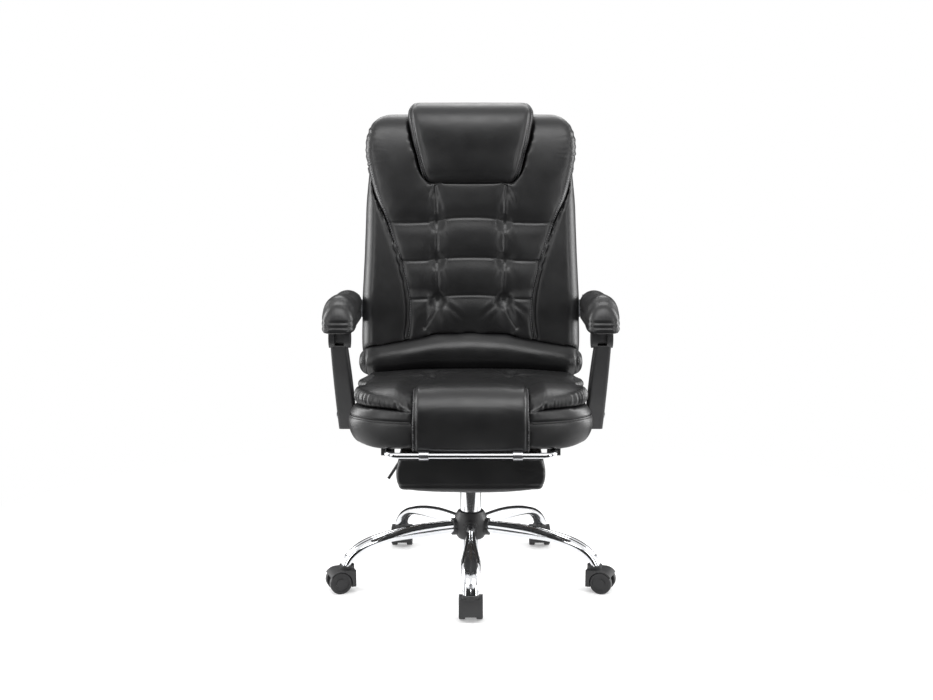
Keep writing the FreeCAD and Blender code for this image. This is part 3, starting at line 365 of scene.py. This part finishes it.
MOULDED = surface_material("moulded_black_plastic", dark=(0.018, 0.018, 0.019), light=(0.028, 0.028, 0.029),
                           rough=(0.42, 0.55), grain_size=0.6 * MM, grain_strength=0.18, relief=0.08 * MM)
NYLON = surface_material("castor_nylon", dark=(0.01, 0.01, 0.011), light=(0.017, 0.017, 0.018),
                         rough=(0.42, 0.58), grain_size=0.8 * MM, grain_strength=0.2, relief=0.1 * MM)
SLOT_MATERIALS = {
    "black_leather": LEATHER,
    "chrome": CHROME,
    "zinc_steel": ZINC,
    "black_steel": COATED,
    "black_plastic": MOULDED,
    "castor_nylon": NYLON,
    "plywood": plywood_material(),
}


def dress_cad_nodes():
    for made in NODES.values():
        for place in made.material_slots:
            if place.material and place.material.name.split(".")[0] in SLOT_MATERIALS:
                place.material = SLOT_MATERIALS[place.material.name.split(".")[0]]


# Making of the soft pieces
def stuffed(cad_name, name, voxel, rounding):
    """A copy of a soft CAD solid as an even quad mesh, ready for the cloth."""
    obj = link(name, NODES[cad_name].data.copy())
    remesh = obj.modifiers.new("remesh", "REMESH")
    remesh.mode = "VOXEL"
    remesh.voxel_size = voxel * MM
    smooth = obj.modifiers.new("smooth", "SMOOTH")
    smooth.factor = 0.5
    smooth.iterations = rounding
    bake(obj)
    body = NODES[cad_name]["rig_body"]
    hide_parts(cad_name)
    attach(obj, body)
    obj.data.materials.clear()
    obj.data.materials.append(LEATHER)
    return obj


def pin(obj, held):
    """held is from 0, free, to 1, fixed, for each point."""
    group = obj.vertex_groups.new(name="held")
    for index, weight in enumerate(held):
        if weight > 0.01:
            group.add([index], float(weight), "REPLACE")


def simulate(jobs):
    """jobs is a list of (piece, pressure, cap in mm). All pieces fill at once."""
    rest = [coords(obj.data) for obj, _, _ in jobs]
    for obj, pressure, _ in jobs:
        cloth = obj.modifiers.new("cloth", "CLOTH")
        cloth.settings.use_pressure = True
        cloth.settings.uniform_pressure_force = pressure
        cloth.settings.effector_weights.gravity = 0
        cloth.settings.quality = CLOTH_QUALITY
        cloth.settings.mass = CLOTH_MASS
        cloth.settings.bending_stiffness = CLOTH_BENDING
        cloth.settings.vertex_group_mass = "held"
        cloth.collision_settings.use_collision = False
    for step in range(1, FRAMES + 1):
        SCENE.frame_set(step)
    graph = bpy.context.evaluated_depsgraph_get()
    moved = [coords(obj.evaluated_get(graph).data) for obj, _, _ in jobs]
    for (obj, _, cap), before, after in zip(jobs, rest, moved):
        obj.modifiers.clear()
        step = after - before
        length = np.linalg.norm(step, axis=1)
        step *= np.minimum(1, cap * MM / np.maximum(length, TINY))[:, None]
        set_coords(obj.data, before + step)
    SCENE.frame_set(1)


def refine(obj):
    """One subdivision, and the groups that the cloth needed are taken off."""
    obj.vertex_groups.clear()
    subdivided = obj.modifiers.new("subdivision", "SUBSURF")
    subdivided.levels = 1
    smooth = obj.modifiers.new("smooth", "SMOOTH")
    smooth.factor = 0.5
    smooth.iterations = 1
    bake(obj)
    shade_smooth(obj.data)


def tree_of(obj):
    return BVHTree.FromPolygons([v.co for v in obj.data.vertices], [p.vertices for p in obj.data.polygons])


def cast(tree, start, way):
    place, normal, _, _ = tree.ray_cast(start, way)
    return (place, normal) if place is not None else None


def project(tree, line):
    """Places and normals where a line of (x, z), in mm, falls on a piece seen from the front."""
    found = []
    for x, z in line:
        hit = cast(tree, Vector((x * MM, -1.0, z * MM)), REAR)
        if hit:
            found.append(hit)
    return found


def wrap(tree, x, centre, angles):
    """Places on a piece in the plane of x, round a centre (y, z) in mm, at angles from the front up."""
    found = []
    hub = Vector((x * MM, centre[0] * MM, centre[1] * MM))
    for angle in angles:
        way = Vector((0, -math.cos(math.radians(angle)), math.sin(math.radians(angle))))
        hit = cast(tree, hub + way, -way)
        if hit:
            found.append(hit)
    return found


def evenly(found, pitch):
    """The same line with its places a pitch apart."""
    places = np.array([p for p, _ in found])
    facing = np.array([n for _, n in found])
    along = np.concatenate([[0], np.cumsum(np.linalg.norm(np.diff(places, axis=0), axis=1))])
    marks = np.arange(0, along[-1], pitch * MM)
    out = []
    for mark in marks:
        place = Vector([np.interp(mark, along, places[:, k]) for k in range(3)])
        normal = Vector([np.interp(mark, along, facing[:, k]) for k in range(3)]).normalized()
        out.append((place, normal))
    return out


def stitch_row(verts, faces, found, shift):
    """Thread stitches along a line on the surface, a shift in mm to its side."""
    marks = evenly(found, STITCH_PITCH / 2)
    sides = STITCH_SIDES
    for first, second in zip(marks[::2], marks[1::2]):
        (a, up), (b, _) = first, second
        run = b - a
        if run.length < TINY:
            continue
        run.normalize()
        side = run.cross(up).normalized()
        middle = (a + b) / 2 + side * shift * MM
        start = len(verts)
        for part, height, girth in STITCH_SHAPE:
            centre = middle + run * part * STITCH_LENGTH * MM + up * height * MM
            for k in range(sides):
                turn = 2 * math.pi * k / sides
                ring = side * math.cos(turn) + up * math.sin(turn)
                verts.append(centre + ring * girth * STITCH_RADIUS * MM)
        rings = len(STITCH_SHAPE) - 1
        for ring in range(rings):
            for k in range(sides):
                a0 = start + ring * sides + k
                a1 = start + ring * sides + (k + 1) % sides
                faces.append((a0, a1, a1 + sides, a0 + sides))
        faces.append(tuple(start + k for k in reversed(range(sides))))
        faces.append(tuple(start + rings * sides + k for k in range(sides)))


def stitching(name, body, rows):
    """One mesh of stitches. rows is a list of (line on the surface, shift in mm)."""
    verts, faces = [], []
    for found, shift in rows:
        if len(found) > 2:
            stitch_row(verts, faces, found, shift)
    mesh = bpy.data.meshes.new(name)
    mesh.from_pydata(verts, [], faces)
    mesh.materials.append(THREAD)
    shade_smooth(mesh)
    obj = link(name, mesh)
    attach(obj, body)
    return obj


def piping(name, body, found, radius, closed=False):
    """A leather cord sewn into a seam."""
    curve = bpy.data.curves.new(name, "CURVE")
    curve.dimensions = "3D"
    curve.bevel_depth = radius * MM
    curve.bevel_resolution = 3
    line = curve.splines.new("POLY")
    line.points.add(len(found) - 1)
    for point, (place, _) in zip(line.points, found):
        point.co = (*place, 1)
    line.use_cyclic_u = closed
    maker = link(name, curve)
    graph = bpy.context.evaluated_depsgraph_get()
    mesh = bpy.data.meshes.new_from_object(maker.evaluated_get(graph))
    bpy.data.objects.remove(maker)
    bpy.data.curves.remove(curve)
    mesh.materials.clear()
    mesh.materials.append(PIPING)
    shade_smooth(mesh)
    obj = link(name, mesh)
    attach(obj, body)
    return obj


# Seams, in mm: (x, z) on the back and (x, y) on the seat
SIDE_SEAM = smooth_line([(256, 1000), (252, 965), (241.6, 929), (206.5, 830), (179.5, 749), (160, 674),
                         (154, 608), (160, 554)])
SHOULDER = smooth_line([(160, 1090), (222, 1090), (246, 1064), (255, 1020), (256, 997), (250, 960)])
COLUMN = smooth_line([(88, 925), (86, 900), (83, 834), (83, 742), (80, 650), (90, 615), (112, 578)])
ROWS = ((834, 10, 200), (742, 6, 170), (650, 8, 150))
TUFTS = ((83, 834), (83, 742), (80, 650))
HEAD_SEAM = smooth_line([(131, 1119), (141, 1105), (143, 1085), (131, 1012), (117, 960), (107, 926)])
RUCHING = smooth_line([(238, 1076), (248, 1058), (255, 1020), (256, 997), (250, 960)])
SEAT_EDGE = smooth_line([(128, -262), (170, -268), (215, -250), (244, -200), (252, -130), (250, -40),
                         (240, 60), (225, 150)])
SEAT_TUFT = (86, 20)
COVER_EDGE = smooth_line([(-200, 500), (-226, 700), (-232, 900), (-205, 1040), (0, 1052), (205, 1040),
                          (232, 900), (226, 700), (200, 500)])
OVERLAY_TOP = (90, 915)
LUMBAR_SEAM = np.array([(258.0, 440.0), (258.0, 600.0)])
LUMBAR_EDGE = np.array([(262.0, 440.0), (262.0, 600.0)])
LUMBAR_SEWN = (470, 548)
FOOTPAD_SEAM = np.array([(-160.0, 290.0), (160.0, 290.0)])
FOOTPAD_CORNER = (157, 320)
ARM_FOLDS = (625, 635)
ROLL_SEAM = 119
ROLL_CENTRE = (-205, 440)

# The seam round the seat base, in mm: its height in front, its fall per mm to the rear, and where the base is
BASE_SEAM = 431
BASE_SEAM_FALL = 0.03
BASE_FRONT = -240
BASE_HUB = -45
BASE_MIDDLE = -40
BASE_REACH = 240

# Each soft CAD solid, the piece in its place, its voxel in mm, how often it is rounded, and its fill
SOFT_PIECES = (
    ("headrest", "headrest_pillow", VOXEL, 4, 0.7),
    ("back_overlay", "back_overlay_panel", VOXEL, 6, 0.7),
    ("back_cushion", "back_shell_cushion", VOXEL, 3, 0.7),
    ("lumbar_roll", "lumbar_pillow", VOXEL, 4, 0.7),
    ("seat_top_cushion", "seat_top_pillow", VOXEL, 3, 0.7),
    ("seat_base_cushion", "seat_base_box", VOXEL, 3, 0.9),
    ("seat_front_roll", "seat_roll", VOXEL, 3, 0.7),
    ("footrest_cushion", "footrest_pillow", VOXEL, 2, 0.7),
    ("arm_pad_left", "arm_cushion_left", ARM_VOXEL, 3, 0.8),
    ("arm_pad_right", "arm_cushion_right", ARM_VOXEL, 3, 0.8),
    ("back_cover", "back_panel_cover", COVER_VOXEL, 2, 0.3),
)


def both(line):
    return line, line * [-1, 1]


def row_line(height, arch, reach):
    """A horizontal seam from side to side through the tufts, arched up in the middle panel."""
    tuft = TUFTS[0][0]
    return smooth_line([(-reach, height - 4), (-130, height - 3), (-tuft, height), (-50, height + 0.8 * arch),
                        (0, height + arch), (50, height + 0.8 * arch), (tuft, height), (130, height - 3),
                        (reach, height - 4)])


def seam_hold(obj, axes, lines, width, facing):
    """How firmly each point is held: fully at the seams, and where the piece doesn't face that way."""
    chart = coords(obj.data)[:, axes] / MM
    held = np.zeros(len(chart))
    for line in lines:
        gap, _ = near(chart, line)
        held = np.maximum(held, np.clip(1.5 - gap / width, 0, 1))
    turned = normals(obj.data) @ np.array(facing)
    return np.where(turned < 0.15, 1.0, held)


XZ = [0, 2]
XY = [0, 1]


def overlay_lines():
    lines = [row_line(*row) for row in ROWS]
    for line in (COLUMN, SIDE_SEAM, SHOULDER):
        lines += both(line)
    return lines


def start_pieces():
    """Every soft piece, before it is filled."""
    made = {}
    for cad_name, name, voxel, rounding, _ in SOFT_PIECES:
        made[cad_name] = stuffed(cad_name, name, voxel, rounding)
    return made


def fill_pieces(made):
    """Fills the pieces that puff out between their seams."""
    # Solid, chart, seams, hold in mm, free side, pressure, and the farthest that a point moves in mm
    plans = (
        ("headrest", XZ, both(HEAD_SEAM), 6, FRONT, 3.0, 8),
        ("back_overlay", XZ, overlay_lines(), 6, FRONT, 3.0, 7),
        ("lumbar_roll", XZ, both(LUMBAR_EDGE), 6, FRONT, 3.0, 8),
        ("seat_top_cushion", XY, both(SEAT_EDGE), 8, UP, 3.0, 10),
        ("footrest_cushion", XY, (), 6, DOWN, 2.0, 4),
    )
    jobs = []
    for cad_name, axes, lines, width, facing, pressure, cap in plans:
        obj = made[cad_name]
        pin(obj, seam_hold(obj, axes, lines, width, facing))
        jobs.append((obj, pressure, cap))
    simulate(jobs)


def finish_overlay(obj):
    s = Surface(obj, XZ, FRONT, seed=3)
    for row in ROWS:
        s.groove(row_line(*row), depth=2.6, width=2.6)
        s.groove(row_line(*row), depth=3.6, width=22.0)
    for line in both(COLUMN):
        s.groove(line, depth=3.4, width=3.4)
        s.groove(line, depth=4.2, width=20.0)
    for x, z in TUFTS:
        for side in (-1, 1):
            s.rays((side * x, z), (245, 262, 278, 295), reach=55, depth=1.6, width=5.0)
            s.rays((side * x, z), (75, 105), reach=45, depth=1.2, width=5.0)
    low_x, low_z = TUFTS[-1]
    top_x, top_z = OVERLAY_TOP
    for side in (-1, 1):
        s.rays((side * low_x, low_z), (215, 235, 255, 270, 285, 305, 325), reach=78, depth=3.0, width=6.0)
        s.rays((side * top_x, top_z), (250, 265, 280, 295), reach=60, depth=2.2, width=5.0)
    x, _, z = s.points.T
    s.lift += 4.0 * ramp(np.abs(x), 92, 124) * ramp(z, 800, 740)
    s.ripples(depth=0.8, size=200)
    s.apply()
    gather_shoulders(obj)


def gather_shoulders(obj):
    """The overlay's lower corners come forward, clear of the shell, and its shoulders are gathered."""
    s = Surface(obj, XZ, seed=14)
    x, _, z = s.points.T
    s.points[:, 1] -= 6 * ramp(np.abs(x), 84, 110) * ramp(z, 675, 645)
    for line in both(RUCHING):
        s.gathers(line, depth=1.8, reach=13, pitch=8)
    s.apply()


def finish_shell(obj):
    s = Surface(obj, XZ, FRONT, seed=4)
    for line in both(SIDE_SEAM):
        s.groove(line, depth=4.0, width=7.0)
    for line in both(SHOULDER):
        s.gathers(line, depth=2.2, reach=12, pitch=11)
    s.ripples(depth=1.5, size=220)
    s.apply()


def finish_headrest(obj):
    s = Surface(obj, XZ, FRONT, seed=5)
    for line in both(HEAD_SEAM):
        s.groove(line, depth=3.4, width=3.0)
        s.gathers(line, depth=0.4, reach=12, pitch=17)
    s.ripples(depth=0.6, size=170)
    s.apply()


def finish_lumbar(obj):
    s = Surface(obj, XZ, FRONT, seed=6)
    for line in both(LUMBAR_SEAM):
        s.groove(line, depth=3.5, width=3.5)
        s.gathers(line, depth=0.7, reach=16, pitch=14)
    s.ripples(depth=0.8, size=220)
    s.apply()


def finish_seat_top(obj):
    """The pillow sinks in its middle, widens and rises to the rear, and is tufted in two places."""
    s = Surface(obj, XY, UP, seed=7)
    x, y, z = s.points.T
    upper = ramp(z, 450, 462)
    s.points[:, 2] -= 13 * upper * ramp(np.abs(x), 165, 120) * ramp(y, 50, -95)
    s.points[:, 0] *= 1 + 0.08 * ramp(y, -20, 70) + 0.045 * bell(y - 45, 30)
    s.points[:, 2] += 7 * upper * ramp(y, 20, 120)
    for side in (-1, 1):
        place = (side * SEAT_TUFT[0], SEAT_TUFT[1])
        s.dent(place, depth=7.0, width=9.0)
        s.rays(place, (20, 60, 95, 130, 170, 215, 245, 270, 300, 335), reach=75, depth=3.4, width=5.0)
    s.apply()
    gather_lobes(obj)


def gather_lobes(obj):
    s = Surface(obj, XY, seed=8)
    for line in both(SEAT_EDGE):
        s.gathers(line, depth=2.8, reach=12, pitch=6.5)
    s.ripples(depth=1.2, size=200)
    s.apply()


def finish_roll(obj):
    """The roll widens to its foot, and its rear and foot come down."""
    s = Surface(obj, XZ, seed=9)
    x, y, z = s.points.T
    s.points[:, 0] *= 1 + 0.035 * ramp(z, 470, 380)
    s.points[:, 2] -= 14 * ramp(y, -240, -110) + 7 * ramp(z, 410, 374)
    for side in (-1, 1):
        s.lift -= 3.5 * bell(x - side * ROLL_SEAM, 3.0)
    s.ripples(depth=1.0, size=150)
    s.apply()


def base_seam(y):
    """The height of the seam round the seat base."""
    return BASE_SEAM - BASE_SEAM_FALL * (y - BASE_FRONT)


def finish_base(obj):
    s = Surface(obj, XZ, seed=10)
    _, y, z = s.points.T
    s.points[:, 2] -= 5 * ramp(z, 400, 371) * ramp(y, -200, -250)
    s.lift -= 2.5 * bell(z - base_seam(y), 4.0)
    s.ripples(depth=2.0, size=200)
    s.apply()


def finish_footrest(obj):
    """The pad is stretched over the board, so that its leather covers the board's front."""
    s = Surface(obj, XZ, FRONT, seed=11)
    z = s.points[:, 2]
    s.points[:, 2] = np.interp(z, (z.min(), z.max()), FOOTPAD_HEIGHT)
    s.points[:, 0] *= FOOTPAD_WIDENING
    s.chart = s.points[:, XZ]
    s.groove(FOOTPAD_SEAM, depth=1.6, width=2.5)
    s.rays(FOOTPAD_CORNER, (150, 180, 205), reach=60, depth=1.6, width=4.0)
    s.ripples(depth=1.2, size=120)
    s.apply()


def finish_arm(obj):
    """The front of the pad is fuller and reaches down over its tray, with two folds across it."""
    s = Surface(obj, XZ, seed=12)
    x, y, z = s.points.T.copy()
    tip = y < y.min() + 45
    middle = (x[tip].min() + x[tip].max()) / 2
    ahead = ramp(y, y.min() + 170, y.min() + 35)
    s.points[:, 0] += (0.14 + 0.2 * ramp(z, 655, 690)) * ahead * (x - middle)
    s.points[:, 2] += ahead * np.interp(z, (640, 690), (-20, 22))
    for height in ARM_FOLDS:
        s.lift -= 2.0 * ahead * bell(s.points[:, 2] - height, 2.5)
    s.ripples(depth=0.8, size=110)
    s.apply()


def finish_cover(obj):
    s = Surface(obj, XZ, REAR, seed=13)
    s.groove(COVER_EDGE, depth=2.0, width=3.0)
    s.gathers(COVER_EDGE, depth=0.8, reach=12, pitch=22)
    s.ripples(depth=2.0, size=240)
    s.apply()


def double_rows(lines, shift):
    """Two rows of stitches along each line, a shift in mm to either side."""
    return [(line, way * shift) for line in lines for way in (-1, 1)]


def sew_back(made):
    tree = tree_of(made["back_overlay"])
    lines = [project(tree, line) for line in both(SIDE_SEAM - [SIDE_STITCH_INSET, 0])]
    stitching("overlay_stitches", "back", double_rows(lines, ROW_GAP / 2))

    tree = tree_of(made["headrest"])
    lines = [project(tree, line) for line in both(HEAD_SEAM)]
    stitching("headrest_stitches", "back", double_rows(lines, ROW_GAP))

    tree = tree_of(made["lumbar_roll"])
    heights = np.arange(*LUMBAR_SEWN, 3.0)
    lines = [project(tree, [(side * LUMBAR_SEAM[0, 0], z) for z in heights]) for side in (-1, 1)]
    stitching("lumbar_stitches", "back", double_rows(lines, ROW_GAP))


def welt_back(made):
    """A sewn welt where the overlay's side meets the shell."""
    tree = tree_of(made["back_cushion"])
    edge = SIDE_SEAM[SIDE_SEAM[:, 1] < WELT_TOP] - [WELT_INSET, 0]
    for name, line in zip(("right", "left"), both(edge)):
        found = [(place + normal * WELT_LIFT * MM, normal) for place, normal in project(tree, line)]
        piping(f"overlay_welt_{name}", "back", found, WELT_RADIUS)


def sew_seat(made):
    tree = tree_of(made["seat_front_roll"])
    angles = np.arange(-60, 130, 1.5)
    lines = [wrap(tree, side * ROLL_SEAM, ROLL_CENTRE, angles) for side in (-1, 1)]
    stitching("roll_stitches", "seat", double_rows(lines, ROW_GAP))


def pipe_seat(made):
    tree = tree_of(made["seat_base_cushion"])
    found = []
    for angle in np.arange(0, 360, 2.0):
        way = Vector((math.cos(math.radians(angle)), math.sin(math.radians(angle)), 0))
        height = base_seam(BASE_REACH * way.y + BASE_MIDDLE)
        hit = cast(tree, Vector((0, BASE_HUB * MM, height * MM)) + way, -way)
        if hit:
            place, normal = hit
            found.append((place + normal * PIPING_LIFT * MM, normal))
    piping("seat_piping", "seat", found, PIPING_RADIUS, closed=True)


def make_camera():
    camera = bpy.data.cameras.new("camera")
    camera.lens = CAMERA_LENS
    camera.sensor_width = 36.0
    camera.shift_x = CAMERA_SHIFT
    camera.clip_end = 100.0
    obj = link("camera", camera)
    obj.location = (0, -CAMERA_DISTANCE, CAMERA_HEIGHT)
    obj.rotation_euler = (math.pi / 2 - CAMERA_PITCH, 0, 0)
    SCENE.camera = obj


def lamp(name, place, target, width, height, power):
    data = bpy.data.lights.new(name, "AREA")
    data.shape = "RECTANGLE"
    data.size = width
    data.size_y = height
    data.energy = power
    obj = link(name, data)
    obj.location = place
    obj.rotation_euler = (Vector(target) - Vector(place)).to_track_quat("-Z", "Y").to_euler()
    obj.visible_camera = False


def seen_white(tree):
    """1 for the camera and for what metal and glass show, 0 for the light on the object."""
    path = node(tree, "ShaderNodeLightPath")
    first = node(tree, "ShaderNodeMath", {0: path.outputs["Is Camera Ray"], 1: path.outputs["Is Glossy Ray"]},
                 operation="MAXIMUM")
    return node(tree, "ShaderNodeMath", {0: first.outputs[0], 1: path.outputs["Is Transmission Ray"]},
                operation="MAXIMUM").outputs[0]


def make_world():
    world = bpy.data.worlds.new("studio")
    SCENE.world = world
    world.use_nodes = True
    tree = world.node_tree
    tree.nodes.clear()
    soft = node(tree, "ShaderNodeBackground", Color=(1, 1, 1, 1), Strength=LIGHT_STRENGTH)
    white = node(tree, "ShaderNodeBackground", Color=(1, 1, 1, 1), Strength=1.0)
    mixed = node(tree, "ShaderNodeMixShader",
                 {0: seen_white(tree), 1: soft.outputs[0], 2: white.outputs[0]})
    node(tree, "ShaderNodeOutputWorld", {"Surface": mixed.outputs[0]})


def make_floor():
    mesh = bpy.data.meshes.new("floor")
    half = FLOOR_HALF
    corners = [(-half, -half, 0), (half, -half, 0), (half, half, 0), (-half, half, 0)]
    mesh.from_pydata(corners, [], [(0, 1, 2, 3)])
    material = bpy.data.materials.new("floor")
    material.use_nodes = True
    tree = material.node_tree
    tree.nodes.clear()
    paint = node(tree, "ShaderNodeBsdfDiffuse", Color=(FLOOR_PAINT, FLOOR_PAINT, FLOOR_PAINT, 1))
    seen = seen_white(tree)
    glow = node(tree, "ShaderNodeEmission", {"Strength": seen}, Color=(FLOOR_GLOW, FLOOR_GLOW, FLOOR_GLOW, 1))
    near_part = node(tree, "ShaderNodeAddShader", {0: paint.outputs[0], 1: glow.outputs[0]})
    far_part = node(tree, "ShaderNodeEmission", {"Strength": seen}, Color=(1, 1, 1, 1))
    place = node(tree, "ShaderNodeTexCoord").outputs["Object"]
    reach = node(tree, "ShaderNodeVectorMath", {0: place}, operation="LENGTH")
    fade = node(tree, "ShaderNodeMapRange", {"Value": reach.outputs["Value"]},
                interpolation_type="SMOOTHSTEP", From_Min=FLOOR_FADE[0], From_Max=FLOOR_FADE[1])
    share = node(tree, "ShaderNodeMath", {0: fade.outputs["Result"], 1: seen}, operation="MULTIPLY")
    mixed = node(tree, "ShaderNodeMixShader", {0: share.outputs[0], 1: near_part.outputs[0],
                                               2: far_part.outputs[0]})
    node(tree, "ShaderNodeOutputMaterial", {"Surface": mixed.outputs[0]})
    mesh.materials.append(material)
    link("floor", mesh)


def card(name, place, width, height, turn, lying=False):
    """A dark card that only bright metal and gloss show."""
    mesh = bpy.data.meshes.new(name)
    w, h = width / 2, height / 2
    mesh.from_pydata([(-w, 0, -h), (w, 0, -h), (w, 0, h), (-w, 0, h)], [], [(0, 1, 2, 3)])
    material, _, shader = new_material(name, Roughness=1.0)
    shader.inputs["Base Color"].default_value = (0.01, 0.01, 0.01, 1)
    mesh.materials.append(material)
    obj = link(name, mesh)
    obj.location = place
    obj.rotation_euler = (math.pi / 2 if lying else 0, 0, math.radians(turn))
    obj.visible_camera = False
    obj.visible_diffuse = False
    obj.visible_shadow = False
    obj.visible_transmission = False


def make_studio():
    make_world()
    make_floor()
    lamp("top_front", (0, -1.5, 2.7), TOP_TARGET, width=2.4, height=1.3, power=44)
    lamp("top_rear", (0, 1.7, 2.6), TOP_TARGET, width=2.2, height=1.2, power=30)
    for side in (-1, 1):
        lamp(f"side_{side}", (side * 1.6, -1.25, 0.95), SIDE_TARGET, width=0.5, height=1.7, power=12)
        lamp(f"edge_{side}", (side * 2.05, 0.6, 1.0), SIDE_TARGET, width=0.7, height=1.9, power=34)
    width = 2 * CARD_RING * math.tan(math.pi / CARD_COUNT)
    for step in range(CARD_COUNT):
        turn = 360 // CARD_COUNT * step
        if turn not in OPEN_TURNS:
            angle = math.radians(turn)
            place = (CARD_RING * math.sin(angle), -CARD_RING * math.cos(angle), CARD_HEIGHT / 2 + 0.01)
            card(f"card_{step}", place, width, CARD_HEIGHT, turn)
    for side in (-1, 1):
        card(f"low_card_{side}", (0, side * LOW_CARD_PLACE, LOW_CARD_HEIGHT), *LOW_CARD_SIZE, 0, lying=True)
    SCENE.view_settings.view_transform = "Standard"


def main():
    dress_cad_nodes()
    made = start_pieces()
    fill_pieces(made)
    for obj in made.values():
        refine(obj)
    finish_overlay(made["back_overlay"])
    finish_shell(made["back_cushion"])
    finish_headrest(made["headrest"])
    finish_lumbar(made["lumbar_roll"])
    finish_seat_top(made["seat_top_cushion"])
    finish_roll(made["seat_front_roll"])
    finish_base(made["seat_base_cushion"])
    finish_footrest(made["footrest_cushion"])
    finish_arm(made["arm_pad_left"])
    finish_arm(made["arm_pad_right"])
    finish_cover(made["back_cover"])
    sew_back(made)
    welt_back(made)
    sew_seat(made)
    pipe_seat(made)
    make_studio()
    make_camera()


main()
bpy.context.view_layer.update()
